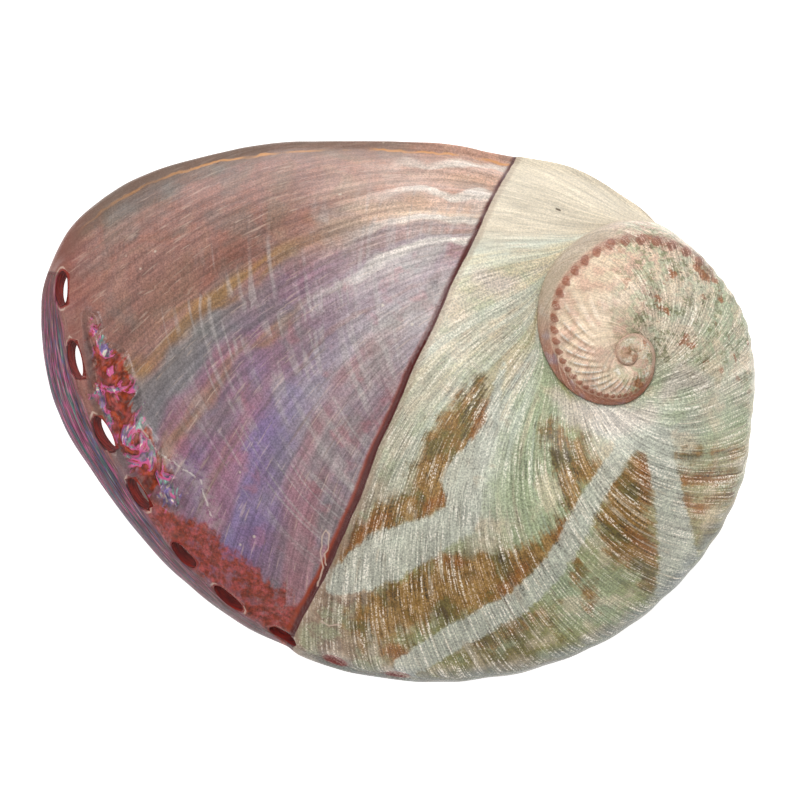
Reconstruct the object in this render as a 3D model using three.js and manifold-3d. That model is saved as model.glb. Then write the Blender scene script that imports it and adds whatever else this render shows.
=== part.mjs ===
// An abalone shell, one thin-walled piece lying on its rim with its back up. Millimetres, +Z up.
// The back is a coil: a small spire, then one huge last turn that flares out into the lip. A row of breathing
// holes follows the shoulder of the last turn. Underneath is the open bowl, with a flat shelf inside the rim.
import * as THREE from "three";
import { mergeVertices } from "three/addons/utils/BufferGeometryUtils.js";
import Module from "manifold-3d";

// Coil angles are in degrees, counterclockwise seen from above, measured round the apex. The lip ends against
// the spire at LIP_ANGLE, and whole turns count back from there towards the apex.
const TURN = 360;
const LIP_ANGLE = 76;
const LIP_END_RADIUS = 22.5;
const WALL = 2.3;
const APEX_HEIGHT = 28.4;
const RIM_HEIGHT = 0.8;
const RIM_ROUND = 0.35;
const THIN_RIM = 0.1;
const SHELF_THICKNESS = 2.6;
const WIDEST_SHELF = 8;

// Each table lists [coil angle, value in mm], and a smooth curve runs through it.
const OUTLINE_RADIUS = [
  [76, LIP_END_RADIUS], [90, 26.5], [105, 32.5], [120, 39], [135, 51], [144, 61.5], [150, 71], [162, 90.5],
  [168, 97], [174, 99], [181, 98], [195, 90.5], [210, 82], [225, 73.5], [250, 57], [270, 45.5], [290, 36],
  [310, 29], [335, 23], [370, 20.5], [400, 20], [420, 21], [436, LIP_END_RADIUS],
];
const SUTURE_RADIUS = [
  [76, LIP_END_RADIUS], [93, 22.3], [112, 21], [134, 19.2], [160, 16.2], [186, 13.5], [231, 10], [270, 7.7],
  [308, 5.5], [340, 4.3], [400, 3.8], [436, 3.6], [517, 2.6], [600, 1.9], [700, 1.2], [796, 0.6],
];
const SUTURE_HEIGHT = [
  [76, RIM_HEIGHT], [93, 7.5], [112, 13.5], [124, 16.8], [134, 19], [146, 21], [160, 22.5], [174, 23.3],
  [199, 24], [231, 24.6], [310, 25.8], [400, 26.6], [516, 27.2], [700, 27.9], [796, 28.2],
];
// The shoulder that carries the holes, as a share of the turn's outer radius, and its height.
const SHOULDER_SHARE = [
  [76, 0.997], [90, 0.972], [110, 0.962], [140, 0.966], [160, 0.976], [168, 0.976], [173, 0.966],
  [180, 0.943], [188, 0.936], [196, 0.944], [219, 0.97], [234, 0.984], [270, 0.985], [342, 0.962],
  [396, 0.975], [418, 0.957], [436, 0.886], [470, 0.86], [490, 0.84], [796, 0.835],
];
const SHOULDER_HEIGHT = [
  [76, RIM_HEIGHT], [90, 1.4], [110, 2], [140, 2.3], [160, 2.8], [167, 3.4], [173, 4.9], [180, 7],
  [188, 8.7], [196, 9.7], [211, 10.9], [226, 11.6], [270, 12.3], [306, 13], [342, 14.2], [378, 16.2],
  [418, 19], [436, 20.3], [470, 22.3], [516, 24.2], [541, 24.8], [612, 26], [700, 27.1], [796, 27.9],
];
// How far the turn is arched above a plain curve between suture and shoulder, times four.
const ARCH = [
  [76, 0], [90, -3], [100, -4], [112, -3], [124, 0], [135, 8], [147, 19], [160, 27], [172, 33], [184, 35.5],
  [200, 34], [220, 29.5], [240, 23.5], [270, 15], [306, 9], [342, 7], [436, 6], [541, 4],
  [620, 2.5], [796, 0.5],
];
// How far the rim stands in from the outline, and how wide the flat shelf inside it is.
const RIM_INSET = [
  [76, THIN_RIM], [166, THIN_RIM], [185, 0.8], [230, 2], [300, 2.6], [380, 2.4], [425, 0.8], [436, THIN_RIM],
];
const SHELF_WIDTH = [
  [76, WALL], [170, WALL], [195, 5], [230, WIDEST_SHELF], [300, WIDEST_SHELF], [380, 5.5], [425, 3],
  [436, WALL],
];
// How slowly the back starts to fall from the suture, and where down the flank the shell is widest.
const BACK_FALL = 1.7;
const WIDEST_SHARE = 0.45;

// Breathing holes: coil angle, and length along the row and width across it. They lie just outside the shoulder.
const HOLES = [
  [173.3, 6, 2.3], [180.5, 6.6, 2.5], [188.5, 6.6, 2.6], [195.8, 6, 2.4],
  [204.2, 5.6, 2.2], [211.3, 6.2, 2.4], [219.2, 5.4, 2.1],
];
const HOLE_OFFSET = 0.5;
const HOLE_SIDES = 14;
const HOLE_DEPTH = 4.4 * WALL;
const HOLE_TAPER = 0.06;

// The rays out from the apex, as [first angle, last angle, steps]: close together where the shell is long.
const RAY_RUNS = [[76, 150, 15], [150, 222, 24], [222, 300, 14], [300, 436, 17]];
const BACK_COLUMNS = 11;
const FLANK_COLUMNS = 5;
const TURN_COLUMNS = BACK_COLUMNS + FLANK_COLUMNS;
const BOWL_COLUMNS = 13;
const BALL_TILTS = [0.35, 0.7, 1.05, 1.3, 1.57];
const BALL_DIRECTIONS = 24;

const { lerp, clamp, degToRad, radToDeg, euclideanModulo, mapLinear } = THREE.MathUtils;

// A smooth curve through a table of [angle, value] that never overshoots its points.
function curveThrough(table) {
  const last = table.length - 1;
  const slope = (i) => (table[i + 1][1] - table[i][1]) / (table[i + 1][0] - table[i][0]);
  const tangents = table.map((_, i) => {
    if (i === 0) return slope(0);
    if (i === last) return slope(last - 1);
    const [before, after] = [slope(i - 1), slope(i)];
    return before * after <= 0 ? 0 : (2 * before * after) / (before + after);
  });
  return (angle) => {
    const found = table.findIndex(([at]) => angle < at);
    const i = found < 0 ? last - 1 : Math.max(found - 1, 0);
    const span = table[i + 1][0] - table[i][0];
    const t = clamp((angle - table[i][0]) / span, 0, 1);
    const [t2, t3] = [t * t, t * t * t];
    return (
      (2 * t3 - 3 * t2 + 1) * table[i][1] + (t3 - 2 * t2 + t) * span * tangents[i] +
      (3 * t2 - 2 * t3) * table[i + 1][1] + (t3 - t2) * span * tangents[i + 1]
    );
  };
}

const outlineRadius = curveThrough(OUTLINE_RADIUS);
const sutureRadius = curveThrough(SUTURE_RADIUS);
const sutureHeight = curveThrough(SUTURE_HEIGHT);
const shoulderShare = curveThrough(SHOULDER_SHARE);
const shoulderHeight = curveThrough(SHOULDER_HEIGHT);
const arch = curveThrough(ARCH);
const rimInset = curveThrough(RIM_INSET);
const shelfWidth = curveThrough(SHELF_WIDTH);

const onLastTurn = (angle) => angle <= LIP_ANGLE + TURN;

// The shell's outline on the last turn, and the next turn's suture on the turns before it.
const turnRadius = (angle) => (onLastTurn(angle) ? outlineRadius(angle) : sutureRadius(angle - TURN));

const shoulderRadius = (angle) => turnRadius(angle) * shoulderShare(angle);

// Where the flank ends: at the rim on the last turn, and in the suture on the turns before it.
function flankEnd(angle) {
  return onLastTurn(angle)
    ? { r: outlineRadius(angle) - rimInset(angle), z: RIM_HEIGHT }
    : { r: sutureRadius(angle - TURN), z: sutureHeight(angle - TURN) };
}

// A point on the back of a turn, from its suture (share 0) to its shoulder (share 1).
function backPoint(angle, share) {
  const [low, high] = [shoulderHeight(angle), sutureHeight(angle)];
  return {
    r: lerp(sutureRadius(angle), shoulderRadius(angle), share),
    z: low + (high - low) * (1 - share ** BACK_FALL) + arch(angle) * share * (1 - share),
  };
}

// A point on the flank, from the shoulder (share 0) to the flank's end (share 1): a Bezier curve whose two
// middle points stand out just far enough for it to reach the outline at its widest.
function flankPoint(angle, share) {
  const top = { r: shoulderRadius(angle), z: shoulderHeight(angle) };
  const end = flankEnd(angle);
  const [topWeight, endWeight] = [(1 - WIDEST_SHARE) ** 3, WIDEST_SHARE ** 3];
  const bulge = (turnRadius(angle) - topWeight * top.r - endWeight * end.r) / (1 - topWeight - endWeight);
  const drop = top.z - end.z;
  const bend = new THREE.CubicBezierCurve(
    new THREE.Vector2(top.r, top.z), new THREE.Vector2(bulge, top.z - 0.2 * drop),
    new THREE.Vector2(bulge, end.z + 0.35 * drop), new THREE.Vector2(end.r, end.z),
  );
  const { x, y } = bend.getPoint(share);
  return { r: x, z: y };
}

function place(angle, { r, z }) {
  const turned = degToRad(angle);
  return new THREE.Vector3(r * Math.cos(turned), r * Math.sin(turned), z);
}

// Height of the back straight above a point of the plan, and 0 outside the outline.
function heightAbove(x, y) {
  const r = Math.hypot(x, y);
  let angle = LIP_ANGLE + euclideanModulo(radToDeg(Math.atan2(y, x)) - LIP_ANGLE, TURN);
  if (r >= outlineRadius(angle)) return 0;
  if (r < sutureRadius(angle)) angle += TURN;
  const [suture, shoulder, outside] = [sutureRadius(angle), shoulderRadius(angle), turnRadius(angle)];
  if (r < suture) return lerp(APEX_HEIGHT, sutureHeight(angle), r / suture);
  if (r < shoulder) return backPoint(angle, (r - suture) / (shoulder - suture)).z;
  const top = shoulderHeight(angle);
  const widest = onLastTurn(angle) ? lerp(RIM_HEIGHT, top, WIDEST_SHARE) : flankEnd(angle).z;
  return lerp(top, widest, ((r - shoulder) / (outside - shoulder)) ** 2);
}

// The bowl above a point: the highest place where a ball as thick as the wall still fits under the back.
function bowlHeight(x, y) {
  let height = heightAbove(x, y) - WALL;
  for (const tilt of BALL_TILTS) {
    const [reach, rise] = [WALL * Math.sin(tilt), WALL * Math.cos(tilt)];
    for (let turn = 0; turn < BALL_DIRECTIONS; turn++) {
      const angle = (turn * 2 * Math.PI) / BALL_DIRECTIONS;
      height = Math.min(height, heightAbove(x + reach * Math.cos(angle), y + reach * Math.sin(angle)) - rise);
    }
  }
  return height;
}

const shelfTop = (angle) => mapLinear(shelfWidth(angle), WALL, WIDEST_SHELF, RIM_ROUND, SHELF_THICKNESS);

// The outer surface along one ray, from the coil's start to the rim's outer edge.
function outerRay(angle) {
  const nodes = [];
  for (const coil of [angle + TURN, angle]) {
    for (let i = 0; i < BACK_COLUMNS; i++) nodes.push(backPoint(coil, i / BACK_COLUMNS));
    for (let i = 0; i < FLANK_COLUMNS; i++) nodes.push(flankPoint(coil, i / FLANK_COLUMNS));
  }
  const end = flankEnd(angle);
  nodes.push(end, { r: end.r - RIM_ROUND, z: 0 });
  return nodes.map((node) => place(angle, node));
}

// The bowl along one ray, from the flat rim's inner edge round the shelf and up to the middle.
function bowlRay(angle) {
  const edge = flankEnd(angle).r - shelfWidth(angle);
  const wall = outlineRadius(angle) - WALL - 0.2;
  const top = shelfTop(angle);
  const nodes = [
    { r: edge + RIM_ROUND, z: 0 },
    { r: edge, z: RIM_ROUND },
    { r: Math.min(edge + 0.5, wall + 0.05), z: top },
  ];
  for (let i = 0; i < BOWL_COLUMNS; i++) {
    const r = wall * (1 - (i / BOWL_COLUMNS) ** 1.5);
    const { x, y } = place(angle, { r, z: 0 });
    nodes.push({ r, z: Math.max(bowlHeight(x, y), top + 0.1) });
  }
  return nodes.map((node) => place(angle, node));
}

function rayAngles() {
  const angles = [];
  for (const [from, to, steps] of RAY_RUNS) {
    for (let i = 0; i < steps; i++) angles.push(lerp(from, to, i / steps));
  }
  return angles;
}

// The nodes on the first ray inside the coil's start, where the innermost turn runs in.
function coilStart() {
  const start = LIP_ANGLE + TURN;
  const from = backPoint(start + TURN, 0);
  const to = backPoint(start, 0);
  return Array.from({ length: TURN_COLUMNS }, (_, i) => {
    const share = i / TURN_COLUMNS;
    const z = lerp(from.z, to.z, share) + share * (1 - share);
    return place(start, { r: lerp(from.r, to.r, share), z });
  });
}

// Joins the strips between neighbouring rays into one closed surface. Because of the coil, each turn on the
// last ray runs on into the turn inside it on the first ray.
function shellSurface() {
  const angles = rayAngles();
  const outer = angles.map(outerRay);
  const bowl = angles.map(bowlRay);
  // On the first ray the last turn has no width yet, so all its nodes lie at the lip's end.
  outer[0].fill(outer[0][2 * TURN_COLUMNS], TURN_COLUMNS, 2 * TURN_COLUMNS);
  const start = coilStart();
  const wrapped = [...start, ...outer[0].slice(0, TURN_COLUMNS), ...outer[0].slice(2 * TURN_COLUMNS)];
  const apex = place(0, { r: 0, z: APEX_HEIGHT });
  const roof = place(0, { r: 0, z: bowlHeight(0, 0) });
  const corners = [];
  const strip = (here, next) => {
    for (let i = 0; i + 1 < here.length; i++) {
      corners.push(here[i], here[i + 1], next[i + 1], here[i], next[i + 1], next[i]);
    }
  };
  angles.forEach((_, i) => {
    const after = (i + 1) % angles.length;
    const next = after === 0 ? wrapped : outer[after];
    strip(outer[i], next);
    const inside = i === 0 ? [apex, ...start, outer[0][0]] : [apex, outer[i][0]];
    for (let n = 0; n + 1 < inside.length; n++) corners.push(inside[n], inside[n + 1], next[0]);
    strip([outer[i].at(-1), ...bowl[i], roof], [outer[after].at(-1), ...bowl[after], roof]);
  });
  return corners;
}

// Merges corners that coincide, and drops the triangles that this leaves without an area.
function geometryFrom(corners) {
  const geometry = new THREE.BufferGeometry().setFromPoints(corners);
  const merged = mergeVertices(geometry, 1e-3);
  const index = [...merged.index.array];
  const kept = [];
  for (let i = 0; i < index.length; i += 3) {
    const [a, b, c] = index.slice(i, i + 3);
    if (a !== b && b !== c && a !== c) kept.push(a, b, c);
  }
  merged.setIndex(kept);
  return merged;
}

// A tapered oval plug standing along the surface's normal at one hole, with its length along the row.
function holePlug([angle, length, width]) {
  const at = (coil) => place(coil, { r: shoulderRadius(coil) + HOLE_OFFSET, z: shoulderHeight(coil) });
  const centre = at(angle);
  const along = at(angle + 1).sub(at(angle - 1)).normalize();
  const inward = place(angle, backPoint(angle, 0.97));
  const outward = place(angle, flankPoint(angle, 0.3));
  const across = outward.sub(inward).normalize();
  const normal = new THREE.Vector3().crossVectors(along, across).normalize();
  if (normal.z < 0) normal.negate();
  across.crossVectors(normal, along).normalize();
  const plug = new THREE.CylinderGeometry(0.5 + HOLE_TAPER, 0.5 - HOLE_TAPER, HOLE_DEPTH, HOLE_SIDES);
  plug.deleteAttribute("normal");
  plug.deleteAttribute("uv");
  const side = new THREE.Vector3().crossVectors(across, normal);
  plug.applyMatrix4(new THREE.Matrix4().makeScale(width, 1, length));
  plug.applyMatrix4(new THREE.Matrix4().makeBasis(across, normal, side).setPosition(centre));
  return mergeVertices(plug, 1e-4);
}

const wasm = await Module();
wasm.setup();

const solidFrom = (geometry) =>
  new wasm.Manifold(new wasm.Mesh({
    numProp: 3,
    vertProperties: new Float32Array(geometry.getAttribute("position").array),
    triVerts: new Uint32Array(geometry.index.array),
  }));

function shellGeometry() {
  let solid = solidFrom(geometryFrom(shellSurface()));
  for (const hole of HOLES) solid = solid.subtract(solidFrom(holePlug(hole)));
  const { vertProperties, triVerts } = solid.getMesh();
  const geometry = new THREE.BufferGeometry();
  geometry.setAttribute("position", new THREE.BufferAttribute(vertProperties, 3));
  geometry.setIndex(new THREE.BufferAttribute(triVerts, 1));
  geometry.computeBoundingBox();
  const { min, max } = geometry.boundingBox;
  // The frame's origin is the middle of the shell's footprint, on the surface it stands on.
  return geometry.translate(-(min.x + max.x) / 2, -(min.y + max.y) / 2, 0);
}

const root = new THREE.Group();
const shell = new THREE.Mesh(
  shellGeometry(),
  new THREE.MeshStandardMaterial({ color: 0xa79a8c, roughness: 0.3, metalness: 0 }),
);
shell.name = "shell";
root.add(shell);

export default root;
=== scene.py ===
import math
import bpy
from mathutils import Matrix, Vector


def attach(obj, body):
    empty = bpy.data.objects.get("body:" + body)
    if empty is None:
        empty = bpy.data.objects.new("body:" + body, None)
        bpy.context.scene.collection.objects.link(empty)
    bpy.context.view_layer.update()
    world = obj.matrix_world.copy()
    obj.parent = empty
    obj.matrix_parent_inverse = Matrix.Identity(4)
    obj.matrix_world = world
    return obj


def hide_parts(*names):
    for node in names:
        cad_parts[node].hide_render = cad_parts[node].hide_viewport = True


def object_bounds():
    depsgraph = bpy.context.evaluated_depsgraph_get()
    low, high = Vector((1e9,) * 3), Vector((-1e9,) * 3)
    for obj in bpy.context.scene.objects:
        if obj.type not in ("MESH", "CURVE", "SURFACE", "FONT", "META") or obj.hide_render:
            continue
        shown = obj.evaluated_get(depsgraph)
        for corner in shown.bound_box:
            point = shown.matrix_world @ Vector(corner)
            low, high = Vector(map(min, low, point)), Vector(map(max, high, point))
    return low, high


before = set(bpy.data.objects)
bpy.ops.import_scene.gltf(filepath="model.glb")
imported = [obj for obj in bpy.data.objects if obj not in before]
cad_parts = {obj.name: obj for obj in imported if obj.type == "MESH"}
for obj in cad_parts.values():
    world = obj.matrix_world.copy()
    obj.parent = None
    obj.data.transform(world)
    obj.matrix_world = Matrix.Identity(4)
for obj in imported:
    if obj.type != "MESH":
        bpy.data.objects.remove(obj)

from types import SimpleNamespace

import bpy
import numpy as np
from bpy.props import FloatProperty, FloatVectorProperty, IntProperty, PointerProperty
from mathutils import Matrix, Vector, noise

bl_info = {
    "name": "Abalone Shell",
    "version": (1, 0, 0),
    "blender": (4, 5, 0),
    "location": "View3D > Sidebar > Shell",
    "description": "Coils, pierces and finishes a polished abalone shell, and sets up its stage",
    "category": "Add Mesh",
}

CAD_LOW, CAD_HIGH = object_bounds()
MM = 0.001

# Coil angles are in degrees, counterclockwise seen from above, measured round the apex. The lip ends against
# the spire at LIP_ANGLE, and whole turns count back from there towards the apex.
TURN = 360.0
LIP_ANGLE = 76.0
LIP_END_RADIUS = 22.5
WALL = 2.3
RIM_HEIGHT = 0.8
RIM_ROUND = 0.35
THIN_RIM = 0.1
SHELF_THICKNESS = 2.6
WIDEST_SHELF = 8.0
BACK_FALL = 1.7
WIDEST_SHARE = 0.45
FLANK_SAG = 0.2
FLANK_LIFT = 0.35
APEX_HEIGHT = 28.4
ROW_START = 172.0
BROAD_WAVE = 13.0
SHORT_WAVE = 5.0
MERGE_DISTANCE = 0.002
SMOOTH_ANGLE = 50.0

# Stretches of the last turn: start, end and share of the rays.
RAY_RUNS = ((76, 150, 0.20), (150, 226, 0.38), (226, 300, 0.22), (300, 436, 0.20))

# Places and weights of the average that rounds the shoulder.
ROUNDING = ((-2, 0.1), (-1, 0.22), (0, 0.36), (1, 0.22), (2, 0.1))

# Each table lists (coil angle, value), and a smooth curve runs through it. Values are in mm, apart from the
# shoulder's radius, which is a share of the turn's.
OUTLINE_RADIUS = (
    (76, LIP_END_RADIUS), (90, 26.5), (105, 32.5), (120, 39), (135, 51), (144, 61.5), (150, 71), (162, 90.5),
    (168, 97), (174, 99), (181, 98), (195, 90.5), (210, 82), (225, 73.5), (250, 57), (270, 45.5), (290, 36),
    (310, 29), (335, 23), (370, 20.5), (400, 20), (420, 21), (436, LIP_END_RADIUS),
)
SUTURE_RADIUS = (
    (76, LIP_END_RADIUS), (93, 22.3), (112, 21), (134, 19.2), (160, 16.2), (186, 13.5), (231, 10), (270, 7.7),
    (308, 5.5), (340, 4.3), (400, 3.8), (436, 3.6), (517, 2.6), (600, 1.9), (700, 1.2), (796, 0.6),
    (900, 0.3), (1156, 0.05),
)
SUTURE_HEIGHT = (
    (76, RIM_HEIGHT), (93, 7.5), (112, 13.5), (124, 16.8), (134, 19), (146, 21), (160, 22.5), (174, 23.3),
    (199, 24), (231, 24.6), (310, 25.8), (400, 26.6), (516, 27.2), (700, 27.9), (796, 28.2), (1156, 28.45),
)
SHOULDER_SHARE = (
    (76, 0.997), (90, 0.972), (110, 0.962), (140, 0.966), (160, 0.976), (168, 0.976), (173, 0.966),
    (180, 0.943), (188, 0.936), (196, 0.944), (219, 0.97), (234, 0.984), (270, 0.985), (342, 0.962),
    (396, 0.975), (418, 0.957), (436, 0.886), (470, 0.86), (490, 0.84), (796, 0.835),
)
SHOULDER_HEIGHT = (
    (76, RIM_HEIGHT), (90, 1.4), (110, 2), (140, 2.3), (160, 2.8), (167, 3.4), (173, 4.9), (180, 7),
    (188, 8.7), (196, 9.7), (211, 10.9), (226, 11.6), (270, 12.3), (306, 13), (342, 14.2), (378, 16.2),
    (418, 19), (436, 20.3), (470, 22.3), (516, 24.2), (541, 24.8), (612, 26), (700, 27.1), (796, 27.9),
    (1156, APEX_HEIGHT),
)
ARCH = (
    (76, 0), (90, -3), (100, -4), (112, -3), (124, 0), (135, 8), (147, 19), (160, 27), (172, 33), (184, 35.5),
    (200, 34), (220, 29.5), (240, 23.5), (270, 15), (306, 9), (342, 7), (436, 6), (541, 4),
    (620, 2.5), (796, 1.2), (1156, 0.3),
)
RIM_INSET = (
    (76, THIN_RIM), (166, THIN_RIM), (185, 0.8), (230, 2), (300, 2.6), (380, 2.4), (425, 0.8),
    (436, THIN_RIM),
)
SHELF_WIDTH = (
    (76, WALL), (170, WALL), (195, 5), (230, WIDEST_SHELF), (300, WIDEST_SHELF), (380, 5.5), (425, 3),
    (436, WALL),
)
# Radius of the row of holes, carried on past the lip to where the next holes would form.
ROW_RADIUS = (
    (76, 178), (93, 156), (119, 132), (137, 119), (147, 112), (156, 106), (172, 96.3), (180, 93), (188, 89),
    (196, 85.4), (211, 79), (226, 72), (234, 66.8), (250, 56.6), (272, 44.1), (299, 31), (340, 21.5),
    (367, 19.9), (418, 20), (436, 20.2),
)

# Breathing holes, just outside the shoulder: coil angle, length along the row and width across it in mm. The
# two oldest are sealed.
HOLES = (
    (173.3, 6.0, 2.3), (180.5, 6.6, 2.5), (188.5, 6.6, 2.6), (195.8, 6.0, 2.4),
    (204.2, 5.6, 2.2), (211.3, 6.2, 2.4), (219.2, 5.4, 2.1),
)
HOLE_OFFSET = 0.5
HOLE_DEPTH = 4.4 * WALL
HOLE_TAPER = 0.06
SEALED_HOLES = ((226.3, 5.0, 2.6), (234.4, 5.0, 2.4))
HOLE_SIDES = 40

# Beads and pleats of the spire, and folds of the pearl. Steps are in degrees, and a bead's length is a share
# of the radius it lies at.
FIRST_BEAD = 243.0
BEAD_STEP = 7.75
BEAD_LENGTH = 0.058
PLEAT_STEP = 11.0
PLEAT_SLANT = 30.0
FIRST_FOLD = 83.0
FOLD_STEP = 6.6

# Growth lines sweep back from the suture to the row of holes by this many degrees of coil.
SWEEP = 92.5
SWEEP_POWER = 0.43
FLANK_SWEEP = 50.0

# Where the outer layer's edge crosses the back: (y, x) in mm from the middle of the shell.
LAYER_EDGE = (
    (-38.5, -17.7), (-27.5, -12.1), (-20.8, -8.9), (-4.8, -2.5), (18.8, 8.1), (36.6, 16.6), (44, 20.5),
)
EDGE_LEAN = 0.9
EDGE_RIPPLE = 0.12

# A field's value where its marking isn't found, in mm.
FAR_AWAY = 60.0

# The piece's maps hold growth lines, coil angles and distances inside the rim, divided by these.
LINE_SCALE = 100.0
COIL_SCALE = 1000.0
INSIDE_SCALE = 100.0

# Markings as strips: (x, y, half width) in mm along each one.
PALE_BANDS = (
    ((-9.6, -28.4, 2.6), (-5.4, -26.2, 3.8), (-1.2, -23.8, 4.4), (3, -22, 3.6), (7.2, -19.9, 2.9),
     (10.9, -17.8, 2.9), (11.3, -14.1, 2.7), (9.9, -11.2, 2.5), (11.9, -8.5, 2.5), (14.3, -6.1, 2.1),
     (15.7, -2.3, 1.2), (16.5, 2.8, 0.8), (17.7, 7.8, 0.5)),
    ((1.3, -43.2, 1.9), (7.2, -39.3, 2.2), (13.1, -35.9, 2.2), (19.9, -32.2, 2.1), (24.9, -27.5, 2),
     (28.3, -22.5, 2), (30.5, -18.6, 2), (32.1, -14.9, 1.8), (34.2, -11.9, 1.7), (36.2, -8.6, 1.6),
     (38.5, -4.8, 1.8)),
    ((34.2, -2.3, 1.6), (39.6, -3.8, 2.2), (43.4, -4.8, 2.4), (43.8, -7.3, 2.1), (45.4, -14.9, 2.5),
     (46.3, -19.9, 3), (47, -23.3, 3.2), (46.3, -27, 2.4), (44.9, -30, 1.6)),
)
PEARLY_PATCHES = (
    ((27, 2.5, 1.2), (30, -0.5, 2.2), (36, -2, 2.2), (42, -0.5, 1.6)),
    ((44.5, 3, 1), (47.5, 6, 2.2), (51, 5, 1.4)),
    ((14, 22.5, 1.6), (18, 21, 1.4)),
)
BROWN_PATCHES = (
    ((13.8, 5, 1.4), (12, 0, 3), (9, -5, 4), (6.5, -10, 3.6), (5.5, -14, 3.2), (1, -16.5, 2.4)),
    ((7, -14.5, 2), (0, -17.5, 2.2), (-5.5, -20.5, 2.2), (-9, -25.5, 1.2)),
    ((-5, -36, 3.4), (2, -32, 4.4), (10, -29, 5), (18, -27.5, 4.2), (23.5, -24, 2.6), (27, -19.5, 1.4)),
    ((25.5, -3.5, 1.6), (28.5, -7, 3.4), (33, -11, 1.8)),
    ((26.8, -8, 1.4), (28.8, -13, 1.8), (30.5, -16.5, 1.2)),
    ((40.3, -8, 1.6), (39, -12, 3.6), (37.5, -17, 4.3), (39.5, -22, 3.9), (42, -26, 2.6), (42.5, -29, 1.2)),
    ((46.5, -7, 0.5), (58, -6.6, 0.6)),
    ((47.8, -11.2, 1), (56, -10.8, 0.9)),
    ((48, -15.6, 1.2), (56, -14.6, 0.8)),
    ((43, -19.3, 0.5), (52, -21, 0.6)),
    ((29.8, -25.5, 0.8), (32.5, -32.5, 1)),
    ((25.5, -35, 0.6), (28, -37.5, 0.7)),
    ((-2.5, -39.5, 1), (2.5, -41, 1.4)),
    ((14, -39, 0.8), (26, -33, 0.6)),
)
RUST_SPOTS = (
    ((14.8, 1.5, 0.8), (14, -2, 1.3), (12.5, -5, 0.8)),
    ((9, -13.5, 0.8), (5, -16, 1)),
    ((-2, -17.5, 1.2), (-5.5, -20, 1.2), (-8.5, -24, 0.8)),
    ((5, -23.8, 0.8), (10.5, -25, 1)),
    ((21, -25.8, 1), (18, -30, 1)),
    ((29, -17.8, 0.8), (27, -20.5, 1)),
    ((40.8, -7.8, 1), (41.3, -11, 1.3), (41.5, -14.5, 0.9)),
    ((38.3, -19.9, 0.8), (42.5, -23.2, 1)),
    ((48, -11, 0.9), (55, -11.4, 0.6)),
    ((48.3, -15, 0.9), (51, -16.5, 0.7)),
    ((-2, -39.8, 0.9), (2.5, -41.3, 1.2)),
    ((4.7, -36, 0.5), (5.2, -37, 0.5)),
)
BRICK_STRIP = (
    ((-41.6, -14.6, 1.4), (-37.9, -19.1, 2.6), (-32.3, -23.8, 3.4), (-26.4, -28.9, 3.7), (-21.4, -32.7, 3.7),
     (-17, -36.4, 2.6)),
)
CRUMPLE_STRIP = (
    ((-51.5, 16, 0.4), (-50.5, 11, 1), (-48.5, 8, 2.6), (-47.5, 3.5, 3.4), (-46, -2, 2.4), (-43, -7, 2.8),
     (-40.5, -11.5, 2.4), (-37.5, -14.5, 1.2)),
)

# Fine marks, as (x, y) in mm along each one: a worm's tube, the torn edge of the pearl, a chip and a pit.
WORM_TUBE = (
    (-13.3, -29.2), (-12.4, -26), (-12.7, -23.6), (-12.6, -21), (-11.9, -19.8), (-11.3, -20.6),
    (-11.4, -22.6), (-12, -23.8), (-11.9, -25.6),
)
TORN_EDGE = (
    (-43.2, -2.5), (-40, -7), (-36.5, -9.2), (-32.8, -11.6), (-32.3, -14.4), (-30.8, -18.2),
)
CHIP = ((-12.6, -35.1), (-11.4, -35.9), (-9.9, -35.8))
PIT = ((26.9, 34), (27.3, 33.9))


def curve_through(table):
    """A smooth curve through a table of (angle, value) that never overshoots its points."""
    at, value = np.array(table, dtype=float).T
    slope = np.diff(value) / np.diff(at)
    before, after = slope[:-1], slope[1:]
    same_way = before * after > 0
    tangent = np.zeros(len(at))
    tangent[0], tangent[-1] = slope[0], slope[-1]
    tangent[1:-1][same_way] = (2 * before * after)[same_way] / (before + after)[same_way]

    def curve(angle):
        angle = np.clip(angle, at[0], at[-1])
        i = np.clip(np.searchsorted(at, angle, side="right") - 1, 0, len(at) - 2)
        span = at[i + 1] - at[i]
        t = (angle - at[i]) / span
        t2, t3 = t * t, t * t * t
        return (
            (2 * t3 - 3 * t2 + 1) * value[i] + (t3 - 2 * t2 + t) * span * tangent[i]
            + (3 * t2 - 2 * t3) * value[i + 1] + (t3 - t2) * span * tangent[i + 1]
        )

    return curve


outline_radius = curve_through(OUTLINE_RADIUS)
suture_radius = curve_through(SUTURE_RADIUS)
suture_height = curve_through(SUTURE_HEIGHT)
shoulder_share = curve_through(SHOULDER_SHARE)
shoulder_height = curve_through(SHOULDER_HEIGHT)
arch = curve_through(ARCH)
rim_inset = curve_through(RIM_INSET)
shelf_width = curve_through(SHELF_WIDTH)
row_radius = curve_through(ROW_RADIUS)
layer_edge = curve_through(LAYER_EDGE)


def lerp(a, b, t):
    return a + (b - a) * t


def smoothstep(low, high, x):
    t = np.clip((x - low) / (high - low), 0, 1)
    return t * t * (3 - 2 * t)


def bell(x, width):
    return np.exp(-((x / width) ** 2))


def find_apex():
    """The apex in mm: the coil's outline is centred on the frame's origin."""
    angle = np.radians(np.linspace(LIP_ANGLE, LIP_ANGLE + TURN, 2881))
    reach = outline_radius(np.degrees(angle))
    return CAD_HIGH[0] / MM - (reach * np.cos(angle)).max(), CAD_HIGH[1] / MM - (reach * np.sin(angle)).max()


APEX_X, APEX_Y = find_apex()


def turn_radius(coil):
    return np.where(coil <= LIP_ANGLE + TURN, outline_radius(coil), suture_radius(coil - TURN))


def shoulder_radius(coil):
    return turn_radius(coil) * shoulder_share(coil)


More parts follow.
